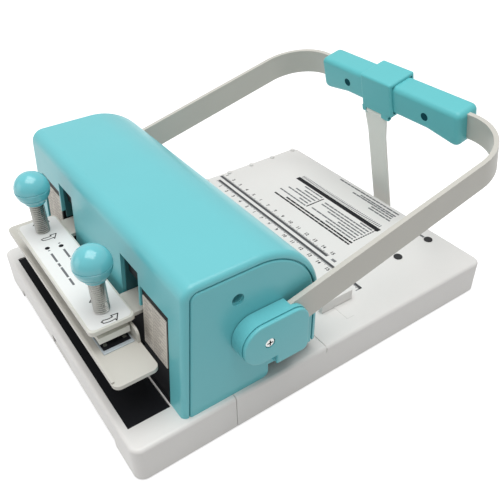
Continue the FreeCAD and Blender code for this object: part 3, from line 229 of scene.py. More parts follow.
def dressed(name, material, edge, angle=32, work=None):
    """A solid's own shape, or a trimmed copy of it, with its sharp edges eased by a small live bevel."""
    made = piece(name + "_skin", work or welded(name), material, body_of(name), angle)
    bevel = made.modifiers.new("eased_edges", "BEVEL")
    bevel.width = edge
    bevel.segments = 2
    bevel.limit_method = "ANGLE"
    bevel.angle_limit = math.radians(angle)
    bevel.harden_normals = True
    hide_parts(name)


moulded_skin = skin_group("moulded_skin", grain_scale=2600.0, grain_detail=2.0)
base_white = finish("base_white", moulded_skin, linear(226, 224, 221), rough=0.42, marks=0.12,
                    grain=0.10, depth=0.04 * mm)
for shell in ("base_rear_shell", "base_front_shell"):
    dressed(shell, base_white, edge=0.5 * mm)


# Floor plate: a folded sheet-steel tray in grey paint that closes the base from below.
# Six zinc-plated pan-head screws hold it to the shells.
def islands(name):
    """The lowest and highest corner of each separate solid in a node, from left to right."""
    work = welded(name)
    left = set(work.verts)
    found = []
    while left:
        front = [left.pop()]
        group = list(front)
        while front:
            for line in front.pop().link_edges:
                for end in line.verts:
                    if end in left:
                        left.remove(end)
                        front.append(end)
                        group.append(end)
        low = Vector([min(vert.co[i] for vert in group) for i in range(3)])
        high = Vector([max(vert.co[i] for vert in group) for i in range(3)])
        found.append((low, high))
    work.free()
    return sorted(found, key=lambda corners: corners[0][:])


def of_kind(geom, kind):
    """The items of one kind, such as bmesh.types.BMVert, in an operator's result."""
    return [item for item in geom if isinstance(item, kind)]


def cross_screw(work, seat, outward, radius, height, shank, length):
    """A pan-head screw with a cross recess; seat is the middle of its face, outward where it points."""
    flat, reach, half = radius * 0.7, radius * 0.58, radius * 0.14
    recess_depth, recess_taper = height * 0.6, 0.7
    made = bmesh.new()
    bmesh.ops.create_circle(made, cap_ends=False, segments=32, radius=flat)
    rim_edges = made.edges[:]
    cross = []
    arm = [(half, half), (half, reach), (-half, reach)]
    for _ in range(4):
        cross += [made.verts.new((x, y, 0)) for x, y in arm]
        arm = [(-y, x) for x, y in arm]
    slot_edges = [made.edges.new(pair) for pair in zip(cross, cross[1:] + cross[:1])]
    bmesh.ops.triangle_fill(made, edges=slot_edges + rim_edges, use_beauty=True)
    sunk = bmesh.ops.extrude_edge_only(made, edges=slot_edges)["geom"]
    floor_verts = of_kind(sunk, bmesh.types.BMVert)
    bmesh.ops.translate(made, verts=floor_verts, vec=(0, 0, -recess_depth))
    bmesh.ops.scale(made, verts=floor_verts, vec=(recess_taper, recess_taper, 1))
    floor_edges = [line for line in of_kind(sunk, bmesh.types.BMEdge) if line.is_boundary]
    bmesh.ops.triangle_fill(made, edges=floor_edges, use_beauty=True)
    # The faces deep in the cross recess take a second finish, which is painted shade.
    for face in made.faces:
        face.material_index = int(face.calc_center_median().z < -recess_depth / 6)
    border = rim_edges
    profile = ((0.88, 0.10), (0.97, 0.28), (1.0, 0.5), (1.0, 1.0), (shank / radius, 1.0),
               (shank / radius, 1.0 + length / height))
    for share, down in profile:
        grown = bmesh.ops.extrude_edge_only(made, edges=border)["geom"]
        border = [line for line in of_kind(grown, bmesh.types.BMEdge) if line.is_boundary]
        for vert in of_kind(grown, bmesh.types.BMVert):
            around = vert.co.xy.normalized() * radius * share
            vert.co = (around.x, around.y, -height * down)
    bmesh.ops.triangle_fill(made, edges=border, use_beauty=True)
    bmesh.ops.recalc_face_normals(made, faces=made.faces)
    turn = outward.to_track_quat("Z", "Y").to_matrix().to_4x4()
    bmesh.ops.transform(made, matrix=Matrix.Translation(seat) @ turn, verts=made.verts)
    loose = bpy.data.meshes.new("screw")
    made.to_mesh(loose)
    made.free()
    work.from_mesh(loose)
    bpy.data.meshes.remove(loose)


def screw_set(name, material, outward_of, radius, height, shank, lift=0.0):
    """A node's screws, one for each of its solids; outward_of gives each one's direction."""
    work = bmesh.new()
    for low, high in islands(name):
        middle = (low + high) / 2
        outward = Vector(outward_of(middle))
        span = abs((high - low).dot(outward)) / 2
        seat = middle + outward * (span + lift)
        cross_screw(work, seat, outward, radius, height, shank, 2 * span - height)
    made = piece(name + "_heads", work, material, body_of(name))
    made.data.materials.append(recess_painted_shade)
    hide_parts(name)


drawn_skin = skin_group("drawn_metal", grain_scale=90.0, grain_detail=4.0, stretch=(1.0, 14.0, 14.0))


def metal(name, color, rough, shine, marks=0.2, grain=0.05, drift=0.12):
    """A drawn or ground metal; shine is the share of it that is bare and bright."""
    return finish(name, drawn_skin, color, rough, marks, grain, 0.02 * mm, drift, Metallic=shine)


coated_skin = skin_group("powder_coat", grain_scale=700.0, grain_detail=3.0)
floor_paint = finish("floor_paint", coated_skin, linear(150, 151, 153), rough=0.5, marks=0.15,
                     grain=0.18, depth=0.05 * mm)
zinc_plate = metal("zinc_plate", linear(196, 196, 192), rough=0.30, shine=1.0, marks=0.22)
# The screws' cross recesses are painted shade in this dark grey.
recess_painted_shade = metal("recess_painted_shade", linear(30, 31, 34), rough=0.6, shine=0.0)
dressed("floor_plate", floor_paint, edge=0.3 * mm)
screw_set("floor_screws", zinc_plate, lambda middle: (0, 0, -1), radius=4.0 * mm, height=1.0 * mm,
          shank=1.6 * mm)

# Rubber feet: four moulded black pads, dull and finely pitted.
# They are stuck under the floor plate and carry the machine.
foot_rubber = finish("foot_rubber", moulded_skin, linear(34, 34, 36), rough=0.72, marks=0.15,
                     grain=0.25, depth=0.05 * mm)
dressed("rubber_feet", foot_rubber, edge=0.4 * mm)

# Chip drawer: a shallow off-white tray that slides out at the back under the pit.
# It is a separate moulding, a shade greyer than the base, with a pull lip in its front wall.
drawer_grey = finish("drawer_grey", moulded_skin, linear(214, 212, 208), rough=0.46, marks=0.12,
                     grain=0.12, depth=0.04 * mm)
dressed("chip_drawer", drawer_grey, edge=0.4 * mm)


# Punch unit: ground steel die, stop bar, stripper, guide posts, ram and punches.
# They are machined and left bare, so the grinding marks run along the machine.
def paint_nodes(names, material):
    """Solids whose shape is already right take a finish."""
    for name in names:
        slots = frame["nodes"][name].data.materials
        slots.clear()
        slots.append(material)


ground_steel = metal("ground_steel", linear(188, 188, 186), rough=0.33, shine=1.0, marks=0.25, grain=0.06,
                     drift=0.10)
for ground in ("die_plate", "throat_stop_bar", "stripper_plate", "ram_bar"):
    dressed(ground, ground_steel, edge=0.3 * mm)
paint_nodes(("guide_posts", "punch_pins"), ground_steel)

# Pivot shaft and cams: a turned steel shaft in two sintered bronze bushes.
# Two eccentrics keyed to it drive the ram.
bush_bronze = metal("bush_bronze", linear(176, 138, 84), rough=0.4, shine=1.0)
paint_nodes(("shaft_bushes",), bush_bronze)
paint_nodes(("pivot_shaft",), ground_steel)
for cam in ("cam_left", "cam_right"):
    dressed(cam, ground_steel, edge=0.4 * mm)

# Return springs: dark spring-steel wire wound round the shaft, one torsion spring at each end.
# They bring the handle back up.
spring_steel = metal("spring_steel", linear(74, 74, 78), rough=0.36, shine=0.9, drift=0.10)
spring_turns, turn_steps, wire_radius, wire_sides = 9, 20, 1.0 * mm, 8
for spring in ("return_spring_left", "return_spring_right"):
    low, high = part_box(spring)
    middle = (low + high) / 2
    coil_radius = (high.y - low.y) / 2 - wire_radius
    start = Vector((low.x + wire_radius, middle.y, middle.z + coil_radius))
    standing = Matrix.Rotation(math.pi / 2, 4, "X")
    work = bmesh.new()
    bmesh.ops.create_circle(work, cap_ends=True, segments=wire_sides, radius=wire_radius,
                            matrix=Matrix.Translation(start) @ standing)
    steps = turn_steps * spring_turns
    advance = (high.x - low.x - 2 * wire_radius) / steps
    bmesh.ops.spin(work, geom=work.verts[:] + work.edges[:] + work.faces[:], cent=middle, axis=(1, 0, 0),
                   dvec=(advance, 0, 0), angle=2 * math.pi * spring_turns, steps=steps)
    bmesh.ops.recalc_face_normals(work, faces=work.faces)
    coil = piece(spring + "_coil", work, spring_steel, body_of(spring), angle=60)
    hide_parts(spring)

# Frame: two black powder-coated side plates and a folded back plate screwed down to the base.
# The back plate is what shows through the cover's windows, behind the closer.
black_coat = finish("black_coat", coated_skin, linear(17, 18, 22), rough=0.5, marks=0.18,
                    grain=0.35, depth=0.06 * mm, Specular_IOR_Level=0.25)
for plate in ("frame_side_left", "frame_side_right", "frame_back_plate"):
    dressed(plate, black_coat, edge=0.4 * mm)

# Pit mat: a sheet of black cellular rubber laid in the pit behind the closer.
# Its cut edges are square and its skin is dull and slightly pitted.
mat_skin = skin_group("rubber_sheet", grain_scale=1500.0, grain_detail=5.0)
pit_rubber = finish("pit_rubber", mat_skin, linear(17, 18, 22), rough=0.85, marks=0.2,
                    grain=0.6, depth=0.12 * mm, drift=0.25, Specular_IOR_Level=0.2)
dressed("pit_mat", pit_rubber, edge=0.4 * mm)


# Closer bed: a pressed sheet-steel shelf in cream powder coat, lipped along its outer edge.
# Two screws hold its flange to the back plate.
def powder_cream(name, color, rough=0.40):
    """A coat of cream powder paint on steel, slightly uneven from the oven."""
    return finish(name, coated_skin, color, rough, marks=0.14, grain=0.22, depth=0.05 * mm)


# The bed's cream is a darker copy of the closer's cream, as painted shade where the bed lies under the
# closer plate.
shaded_bed_coat = powder_cream("shaded_bed_coat", linear(200, 197, 189), rough=0.42)
dressed("closer_bed", shaded_bed_coat, edge=0.3 * mm)
screw_set("bed_screws", zinc_plate, lambda middle: (0, -1, 0), radius=4.0 * mm, height=2.6 * mm,
          shank=2.0 * mm)


# Closer anvil: a bright zinc-plated strip on the bed, which the wire is pressed against.
# A thin black sheet on it is painted shade for the dark gap under the press bar, and two low rivets hold
# each of its ends.
def bar(work, low, high):
    """A closed block between two corners."""
    middle = (Vector(low) + Vector(high)) / 2
    span = Vector(high) - Vector(low)
    place = Matrix.Translation(middle) @ Matrix.Diagonal((*span, 1))
    bmesh.ops.create_cube(work, size=1.0, matrix=place)


bright_zinc = metal("bright_zinc", linear(190, 199, 205), rough=0.42, shine=0.35)
dressed("closer_anvil", bright_zinc, edge=0.3 * mm)
anvil_low, anvil_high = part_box("closer_anvil")
# The black sheet is painted shade, in the pit mat's rubber finish.
shade_end, shade_edge, shade_height = 3.0 * mm, 1.2 * mm, 0.3 * mm
work = bmesh.new()
bar(work, (anvil_low.x + shade_end, anvil_low.y + shade_edge, anvil_high.z),
    (anvil_high.x - shade_end, anvil_high.y - shade_edge, anvil_high.z + shade_height))
piece("anvil_painted_shade", work, pit_rubber, "base")
rivet_steel = metal("rivet_steel", linear(128, 130, 122), rough=0.42, shine=0.5)
rivet_radius, rivet_height, rivet_inset, rivet_apart = 2.2 * mm, 0.42 * mm, 7.6 * mm, 14.4 * mm
rivet_y = (anvil_low.y + anvil_high.y) / 2
work = bmesh.new()
for x in (anvil_low.x + rivet_inset, anvil_high.x - rivet_inset):
    for y in (rivet_y - rivet_apart / 2, rivet_y + rivet_apart / 2):
        dome = bmesh.ops.create_uvsphere(work, u_segments=20, v_segments=12, radius=rivet_radius)["verts"]
        bmesh.ops.scale(work, verts=dome, vec=(1, 1, rivet_height / rivet_radius))
        bmesh.ops.translate(work, verts=dome, vec=(x, y, anvil_high.z))
bmesh.ops.bisect_plane(work, geom=work.verts[:] + work.edges[:] + work.faces[:], dist=0.001 * mm,
                       plane_co=(0, 0, anvil_high.z), plane_no=(0, 0, -1), clear_outer=True)
bmesh.ops.holes_fill(work, edges=[line for line in work.edges if line.is_boundary], sides=0)
piece("anvil_rivets", work, rivet_steel, "base", angle=50)

# Closer plate: a steel plate in cream powder coat, with rounded corners and eased edges.
# Two cream arms bolted to the ram run out through the cover's slots and carry it.
cream_coat = powder_cream("cream_coat", linear(216, 214, 205))
for bracket in ("lift_bracket_left", "lift_bracket_right"):
    dressed(bracket, cream_coat, edge=0.4 * mm)
dressed("closer_plate", cream_coat, edge=0.7 * mm)

# Closer card: a white printed card stuck to the top of the plate.
# Its arrows show which way each knob turns, and its lines of print are plain bars.
card_skin = skin_group("card_print", grain_scale=1800.0, grain_detail=3.0)


def ink(name, color, gloss=0.2):
    """Printing ink on card or plastic, with an uneven tone."""
    return finish(name, card_skin, color, rough=0.55, marks=0.15, grain=0.1, depth=0.03 * mm, drift=0.3,
                  Specular_IOR_Level=gloss)


card_white = finish("card_white", card_skin, linear(236, 235, 233), rough=0.5, marks=0.12,
                    grain=0.08, depth=0.03 * mm)
print_ink = ink("print_ink", linear(20, 20, 24))
faint_ink = ink("faint_ink", linear(104, 105, 108))
plate_low, plate_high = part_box("closer_plate")
card_margin, card_corner, card_height = 1.6 * mm, 4.0 * mm, 0.15 * mm
card_level, ink_height = plate_high.z + card_height, 0.06 * mm
work = bmesh.new()
bar(work, (plate_low.x + card_margin, plate_low.y + card_margin, plate_high.z),
    (plate_high.x - card_margin, plate_high.y - card_margin, card_level))
upright = [line for line in work.edges if abs(line.verts[0].co.z - line.verts[1].co.z) > card_height / 2]
bmesh.ops.bevel(work, geom=upright, offset=card_corner, affect="EDGES", segments=6, profile=0.5,
                material=-1)
piece("closer_card", work, card_white, "ram")


def turn_arrow(work, x, y, radius, level, first, last):
    """A hollow curved arrow from a pointed tail to a barbed head, drawn as a thin outline."""
    half, barb, reach, tip_in, stroke, steps = 1.5 * mm, 3.3 * mm, 5.0 * mm, 0.8 * mm, 0.75 * mm, 6
    angles = [first + (last - first) * i / steps for i in range(1, steps + 1)]
    outer = [(radius + half, angle) for angle in angles]
    inner = [(radius - half, angle) for angle in reversed(angles)]
    head = [(radius + barb, last), (radius - tip_in, last + reach / radius), (radius - barb, last)]
    middle = Vector((x, y, level + ink_height / 2))
    points = [middle + Vector((away * math.cos(angle), away * math.sin(angle), 0))
              for away, angle in [(radius, first)] + outer + head + inner]
    for near, far in zip(points, points[1:] + points[:1]):
        run = far - near
        turn = Matrix.Rotation(math.atan2(run.y, run.x), 4, "Z")
        size = Matrix.Diagonal((run.length + stroke, stroke, ink_height, 1))
        bmesh.ops.create_cube(work, size=1.0, matrix=Matrix.Translation((near + far) / 2) @ turn @ size)


stud_low, stud_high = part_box("knob_stud_right")
stud = (stud_low + stud_high) / 2
arrow_radius, far_turn = 13.0 * mm, math.radians(165)
arrow_tail, arrow_tip = math.radians(-26), math.radians(13)
work = bmesh.new()
for x in (-stud.x, stud.x):
    for turn in (0.0, far_turn):
        turn_arrow(work, x, stud.y, arrow_radius, card_level, arrow_tail + turn, arrow_tip + turn)
dot_radius, dot_places = 1.9 * mm, ((-32.2 * mm, -168.0 * mm), (-29.1 * mm, -158.0 * mm))
for x, y in dot_places:
    bmesh.ops.create_cone(work, cap_ends=True, segments=24, radius1=dot_radius, radius2=dot_radius,
                          depth=ink_height, matrix=Matrix.Translation((x, y, card_level + ink_height / 2)))
bmesh.ops.recalc_face_normals(work, faces=work.faces)
piece("closer_card_print", work, print_ink, "ram")
word_height = 1.7
card_words = {
    -168.8: ((-28.9, -27.7), (-23.6, -11.2), (-8.8, -4.4), (-2.9, 11.0), (13.0, 21.8)),
    -158.8: ((-33.9, -32.7), (-23.6, -11.4), (-9.4, 4.0), (6.0, 13.5), (15.5, 22.0)),
}
work = bmesh.new()
for y, words in card_words.items():
    for first, last in words:
        bar(work, (first * mm, y * mm, card_level),
            (last * mm, (y + word_height) * mm, card_level + ink_height))
piece("closer_card_words", work, faint_ink, "ram")

# Press bar: a zinc-plated steel bar under the closer's plate, which presses the wire shut.
# It hangs on the two studs, which move it up and down.
press_zinc = metal("press_zinc", linear(224, 224, 217), rough=0.42, shine=0.2)
dressed("press_bar", press_zinc, edge=0.5 * mm)

# Knob studs: two zinc-plated M12 screws that turn in the closer's plate.
# The roots and undersides of the threads are painted shade in dark steel, so the crests stand out bright.
stud_zinc = metal("stud_zinc", linear(190, 190, 186), rough=0.30, shine=1.0)
thread_painted_shade = metal("thread_painted_shade", linear(28, 30, 33), rough=0.55, shine=0.6)
thread_pitch, thread_depth, thread_sides, spare_turns = 1.75 * mm, 0.95 * mm, 28, 3
thread_shape = ((0, 0.0), (0, 0.2), (1, 0.45), (1, 0.6), (0, 0.85), (0, 1.0))
shade_depth, end_slope, under_slope = 0.35, 0.9, -0.3
for side in ("left", "right"):
    low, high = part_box("knob_stud_" + side)
    middle = (low + high) / 2
    root = (high.x - low.x) / 2 - thread_depth
    turns = round((high.z - low.z) / thread_pitch) + spare_turns
    start = Vector((middle.x + root, middle.y, low.z - spare_turns / 2 * thread_pitch))
    work = bmesh.new()
    line = [work.verts.new(start + Vector((thread_depth * out, 0, thread_pitch * rise)))
            for out, rise in thread_shape]
    edges = [work.edges.new(pair) for pair in zip(line, line[1:])]
    bmesh.ops.spin(work, geom=line + edges, cent=middle, axis=(0, 0, 1),
                   dvec=(0, 0, thread_pitch / thread_sides), angle=2 * math.pi * turns,
                   steps=thread_sides * turns)
    bmesh.ops.remove_doubles(work, verts=work.verts, dist=0.01 * mm)
    for level, up in ((low.z, -1), (high.z, 1)):
        bmesh.ops.bisect_plane(work, geom=work.verts[:] + work.edges[:] + work.faces[:], dist=0.0005 * mm,
                               plane_co=(0, 0, level), plane_no=(0, 0, up), clear_outer=True)
    bmesh.ops.holes_fill(work, edges=[edge for edge in work.edges if edge.is_boundary], sides=0)
    bmesh.ops.recalc_face_normals(work, faces=work.faces)
    # Faces in the thread roots and faces turned downward take the painted shade.
    for face in work.faces:
        away = (face.calc_center_median() - middle).xy.length
        dark = away < root + shade_depth * thread_depth or face.normal.z < under_slope
        face.material_index = int(dark and abs(face.normal.z) < end_slope)
    thread = piece("knob_stud_" + side + "_thread", work, stud_zinc, "knob_" + side, angle=40)
    thread.data.materials.append(thread_painted_shade)
    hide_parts("knob_stud_" + side)

# Ball knobs: two glossy teal mouldings, each a ball on a short neck, screwed on top of the studs.
# Two fine grooves run round each ball, one at its middle and one below.
knob_teal = finish("knob_teal", moulded_skin, linear(106, 193, 202), rough=0.20, marks=0.10,
                   grain=0.03, depth=0.03 * mm, Coat_Weight=0.3, Coat_Roughness=0.08)
neck, neck_chamfer, neck_flare, flare_height = 8.0 * mm, 0.8 * mm, 1.2 * mm, 0.9 * mm
arc_step, arc_steps, pole_angle = 6.0, 26, 3
groove_angles, groove_depth, groove_floor, groove_half, groove_room = (90, 117), 0.5 * mm, 0.9, 2.4, 4
for side in ("left", "right"):
    stud_low, stud_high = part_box("knob_stud_" + side)
    middle = (stud_low + stud_high) / 2
    low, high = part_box("ball_knob_" + side)
    ball = (high.x - low.x) / 2
    centre = high.z - ball
    join = math.asin((neck + neck_flare) / ball)
    sweep = [(0, low.z), (neck - neck_chamfer, low.z), (neck, low.z + neck_chamfer),
             (neck, centre - ball * math.cos(join) - flare_height)]
    angles = [180 - math.degrees(join) - step * arc_step for step in range(arc_steps)]
    arc = [(angle, 0.0) for angle in angles
           if angle > pole_angle and min(abs(angle - groove) for groove in groove_angles) > groove_room]
    for groove in groove_angles:
        arc += [(groove - groove_half, 0.0), (groove - groove_floor, groove_depth),
                (groove + groove_floor, groove_depth), (groove + groove_half, 0.0)]
    for angle, sink in sorted(arc, reverse=True):
        turn = math.radians(angle)
        sweep.append(((ball - sink) * math.sin(turn), centre + (ball - sink) * math.cos(turn)))
    sweep.append((0, centre + ball))
    work = bmesh.new()
    line = [work.verts.new((middle.x + away, middle.y, z)) for away, z in sweep]
    edges = [work.edges.new(pair) for pair in zip(line, line[1:])]
    bmesh.ops.spin(work, geom=line + edges, cent=middle, axis=(0, 0, 1), angle=2 * math.pi, steps=48,
                   use_merge=True)
    bmesh.ops.remove_doubles(work, verts=work.verts, dist=0.01 * mm)
    bmesh.ops.recalc_face_normals(work, faces=work.faces)
    knob = piece("ball_knob_" + side + "_ball", work, knob_teal, "knob_" + side, angle=40)
    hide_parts("ball_knob_" + side)

# Label holders: two black satin mouldings that fill the cover's windows in front of the back plate.
# A thin black strip lies on the deck along the foot of the cover's wall.
black_moulding = finish("black_moulding", moulded_skin, linear(18, 19, 23), rough=0.5, marks=0.12,
                        grain=0.08, depth=0.03 * mm, Specular_IOR_Level=0.25)
dressed("label_holders", black_moulding, edge=0.3 * mm)
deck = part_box("base_rear_shell")[1].z
strip_reach, strip_near, strip_far, strip_height = 112.0 * mm, -145.3 * mm, -142.6 * mm, 0.4 * mm
work = bmesh.new()
bar(work, (-strip_reach, strip_near, deck), (strip_reach, strip_far, deck + strip_height))
piece("window_sill", work, black_moulding, "base")

# Label cards: a printed card under film in each holder, leaning back with the cover.
# Each is a plain ruled table with two columns of short bars.
label_card = finish("label_card", card_skin, linear(214, 208, 198), rough=0.55, marks=0.12,
                    grain=0.1, depth=0.03 * mm)
label_ink = ink("label_ink", linear(150, 144, 138), gloss=0.5)
card_thickness, foot_lift, top_lift = 0.8 * mm, 13.0 * mm, 2.5 * mm
cards_low, cards_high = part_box("label_plates")
cards_span = cards_high - cards_low
lift_slope = (top_lift - foot_lift) / cards_span.z
card_lean = (cards_span.y - card_thickness) / cards_span.z


def set_high(work):
    """Moves a card, or its print, up to its place in the holder, along the lean of the cover."""
    for vert in work.verts:
        rise = foot_lift + (vert.co.z - cards_low.z) * lift_slope
        vert.co += Vector((0, card_lean * rise, rise))


work = welded("label_plates")
set_high(work)
dressed("label_plates", label_card, edge=0.15 * mm, work=work)
card_edge, rule, indent = 1.4 * mm, 0.35 * mm, 1.4 * mm
table_rows, first_column, word_foot, word_top, word_least, word_most = 13, 0.44, 0.45, 0.7, 0.4, 0.85
for number, (low, high) in enumerate(islands("label_plates")):
    left, right = low.x + card_edge, high.x - card_edge
    bottom, top = low.z + card_edge, high.z - card_edge
    middle = left + (right - left) * first_column
    front, back = low.y - ink_height, low.y
    row_step = (top - bottom) / table_rows
    draw = random.Random(number)
    work = bmesh.new()
    bar(work, (middle, front, bottom), (middle + rule, back, top))
    bar(work, (left, front, top - rule), (right, back, top))
    for row in range(table_rows):
        z = bottom + row_step * row
        bar(work, (left, front, z), (right, back, z + rule))
        for first, last in ((left, middle), (middle, right)):
            start = first + indent
            end = start + (last - start) * draw.uniform(word_least, word_most)
            bar(work, (start, front, z + row_step * word_foot), (end, back, z + row_step * word_top))
    for vert in work.verts:
        vert.co.y += card_lean * (vert.co.z - low.z)
    set_high(work)
    piece("label_print_" + str(number), work, label_ink, "base")

# Cover: a teal ABS skin rolled over the punch unit, open at the mouth, the windows and the arm slots.
# The posts between slots and windows end above the arms, and the slots have walls inside in a dark teal
# that is painted shade.
cover_teal = finish("cover_teal", moulded_skin, linear(107, 193, 200), rough=0.34, marks=0.14,
                    grain=0.06, depth=0.04 * mm, Specular_IOR_Level=0.4, Coat_Weight=0.08,
                    Coat_Roughness=0.2)
cover_low, cover_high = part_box("cover_skin")
wall_set_back = 9.0 * mm
lean = wall_set_back / (cover_high.z - cover_low.z)
post_inner, post_outer, post_back, post_foot = 70.5 * mm, 73.5 * mm, -130.0 * mm, 93.0 * mm
work = welded("cover_skin")
for vert in work.verts:
    if post_inner < abs(vert.co.x) < post_outer and vert.co.y < post_back and vert.co.z < post_foot:
        vert.co.y += lean * (post_foot - vert.co.z)
        vert.co.z = post_foot
dressed("cover_skin", cover_teal, edge=0.5 * mm, work=work)
# The slot walls' dark teal is painted shade deep in the slots.
slot_painted_shade = finish("slot_painted_shade", moulded_skin, linear(38, 100, 106), rough=0.5, marks=0.1,
                    grain=0.05, depth=0.02 * mm)
slot_inner, slot_outer, wall = 44.0 * mm, 71.0 * mm, 1.2 * mm
wall_front, wall_back, wall_top = -142.2 * mm, -132.0 * mm, 119.2 * mm
inner_foot, far_foot = 78.0 * mm, 87.0 * mm
slot_walls = ((-slot_outer, far_foot), (-slot_inner - wall, inner_foot), (slot_inner, inner_foot),
              (slot_outer - wall, post_foot))
work = bmesh.new()
for x, foot in slot_walls:
    bar(work, (x, wall_front, foot), (x + wall, wall_back, wall_top))
for vert in work.verts:
    vert.co.y += lean * (vert.co.z - deck)
piece("slot_walls", work, slot_painted_shade, "base")


# End plates: two teal mouldings that drop into the open ends of the cover.
# A rim inside each one leaves a groove round it, and a screw in its deep recess holds it to the frame.
def sideways(middle):
    """The way out of the machine, to the left or the right, from a point on one of its sides."""
    return (math.copysign(1, middle.x), 0, 0)


rim_growth, rim_depth = 0.9 * mm, 1.9 * mm
for plate in ("end_plate_left", "end_plate_right"):
    dressed(plate, cover_teal, edge=1.1 * mm)
    low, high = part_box(plate)
    middle = (low + high) / 2
    span = high - low
    growth = Vector((1, 1 + 2 * rim_growth / span.y, 1 + 2 * rim_growth / span.z))
    inward = Vector((-math.copysign(rim_depth, middle.x), 0, rim_growth))
    work = welded(plate)
    bmesh.ops.scale(work, verts=work.verts, vec=growth, space=Matrix.Translation(-middle))
    bmesh.ops.translate(work, verts=work.verts, vec=inward)
    piece(plate + "_rim", work, cover_teal, "base")
screw_set("cover_screws", zinc_plate, sideways, radius=4.0 * mm, height=2.2 * mm, shank=1.8 * mm)

# Bail: one flat steel strip bent to a U and powder-coated cream.
# Both of its ends are clamped to the shaft.
# The bail's cream is a darker copy of the closer's cream, as painted shade on its outer faces.
shaded_bail_coat = powder_cream("shaded_bail_coat", linear(197, 195, 187))
dressed("bail", shaded_bail_coat, edge=0.5 * mm)

# Hub caps: two teal mouldings that hide the bail's clamps, each with a raised face.
# A chromed cross-head screw holds each one to the end of the shaft.
screw_chrome = metal("screw_chrome", linear(206, 206, 204), rough=0.24, shine=1.0)
for cap in ("hub_cap_left", "hub_cap_right"):
    dressed(cap, cover_teal, edge=0.5 * mm)
screw_set("hub_screws", screw_chrome, sideways, radius=4.0 * mm, height=2.2 * mm, shank=1.8 * mm,
          lift=1.1 * mm)

# Grip: two teal half shells clamped round the bail's cross-bar by two screws.
# The screws lie deep and are given dark steel as painted shade, and a dark teal disc on the face over each
# hole is painted shade too.
grip_teal = finish("grip_teal", moulded_skin, linear(97, 190, 195), rough=0.38, marks=0.14,
                   grain=0.10, depth=0.04 * mm, Specular_IOR_Level=0.4)
# A dark teal disc on the grip's face over each screw hole is painted shade.
hole_painted_shade = finish("hole_painted_shade", moulded_skin, linear(10, 72, 82), rough=0.8, marks=0.1,
                    grain=0.05, depth=0.02 * mm, Specular_IOR_Level=0.1)
for half in ("grip_front", "grip_rear"):
    dressed(half, grip_teal, edge=0.4 * mm)
paint_nodes(("grip_screws",), spring_steel)
shaft_low, shaft_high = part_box("pivot_shaft")
pivot = (shaft_low + shaft_high) / 2
tilt = math.radians(13.5)
along = Vector((0, math.cos(tilt), math.sin(tilt)))
grip_face, shade_lift, hole_offset, shade_radius = 245.5 * mm, 0.06 * mm, 49.5 * mm, 3.9 * mm
facing = (-along).to_track_quat("Z", "Y").to_matrix().to_4x4()
work = bmesh.new()
for x in (-hole_offset, hole_offset):
    seat = pivot + along * (grip_face - shade_lift) + Vector((x, 0, 0))
    bmesh.ops.create_circle(work, cap_ends=True, segments=32, radius=shade_radius,
                            matrix=Matrix.Translation(seat) @ facing)
piece("grip_painted_hole_shade", work, hole_painted_shade, "handle")

# Saddle: a teal moulding slid over the middle of the grip, with a lug below.
# Its edges are crisp, so it keeps the solid's own shape.
saddle = piece("saddle_skin", welded("saddle"), grip_teal, body_of("saddle"), angle=32)
saddle.modifiers.new("even_faces", "WEIGHTED_NORMAL").keep_sharp = True
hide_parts("saddle")

# Hold-down strap: a stiff cream moulding that holds the handle down when it is hooked.
# It swings on a ground steel pin in the saddle's lug.
pin_share = 0.86
pin_low, pin_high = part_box("strap_pin")
work = welded("strap_pin")
bmesh.ops.scale(work, verts=work.verts, vec=(pin_share, 1, 1),
                space=Matrix.Translation(-(pin_low + pin_high) / 2))
dressed("strap_pin", ground_steel, edge=0.2 * mm, work=work)
strap_cream = finish("strap_cream", moulded_skin, linear(243, 242, 235), rough=0.45, marks=0.14,
                     grain=0.12, depth=0.04 * mm)
strap_run, strap_end = 11.0 * mm, 12.0 * mm
strap_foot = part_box("hold_strap")[0].z
work = welded("hold_strap")
tail = [vert for vert in work.verts if vert.co.z < strap_foot + strap_end]
bmesh.ops.translate(work, verts=tail, vec=Vector((0, math.sin(tilt), -math.cos(tilt))) * strap_run)
dressed("hold_strap", strap_cream, edge=0.4 * mm, work=work)

# Paper guide: a small off-white moulded fence that slides in a slot of the deck.
# A thin slide plate under it covers the slot, and a zinc-plated nut below holds it.
dressed("paper_guide", base_white, edge=0.4 * mm)
paint_nodes(("guide_nut",), zinc_plate)
guide_low, guide_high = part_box("paper_guide")
guide = (guide_low + guide_high) / 2
half_length, half_width, slide_gap, slide_top = 18.5 * mm, 3.4 * mm, 0.03 * mm, 0.26 * mm
work = bmesh.new()
bar(work, (guide.x - half_length, guide.y - half_width, deck + slide_gap),
    (guide.x + half_length, guide.y + half_width, deck + slide_top))
piece("guide_slide", work, base_white, "paper_guide")

# Deck plugs: two black rubber plugs.
# They are pressed into the deck's spare holes and stand a little proud of it.
dressed("deck_plugs", foot_rubber, edge=0.3 * mm)


# Deck rulers: two screen-printed scales back to back across the deck, each a band with fine ticks.
# The ticks are a millimetre apart, longer at every fifth and tenth one.
def printed(work, left, near, right, far):
    """A bar of ink on the deck, between edges that are given in millimetres."""
    bar(work, (left * mm, near * mm, deck), (right * mm, far * mm, deck + ink_height))


ruler_ink = ink("ruler_ink", linear(118, 119, 121))
band_back, band_front, tick_width = 0.5, 2.2, 0.6
tenth_tick, fifth_tick, plain_tick = 4.6, 4.0, 3.4
rulers = ((47.6, -1, -124, 99), (52.0, 1, -130, 48))
end_rule, unit_mark = (98.5, 41.0, 99.5, 47.6), (54.2, 51.8, 59.4, 54.8)
work = bmesh.new()
for line_y, outward, first, last in rulers:
    near, far = sorted((line_y - outward * band_back, line_y + outward * band_front))
    printed(work, first, near, last, far)
    for tick in range(last - first + 1):
        length = tenth_tick if tick % 10 == 0 else fifth_tick if tick % 5 == 0 else plain_tick
        near, far = sorted((line_y, line_y + outward * length))
        printed(work, first + tick, near, first + tick + tick_width, far)
for mark in (end_rule, unit_mark):
    printed(work, *mark)
piece("deck_ruler", work, ruler_ink, "base")


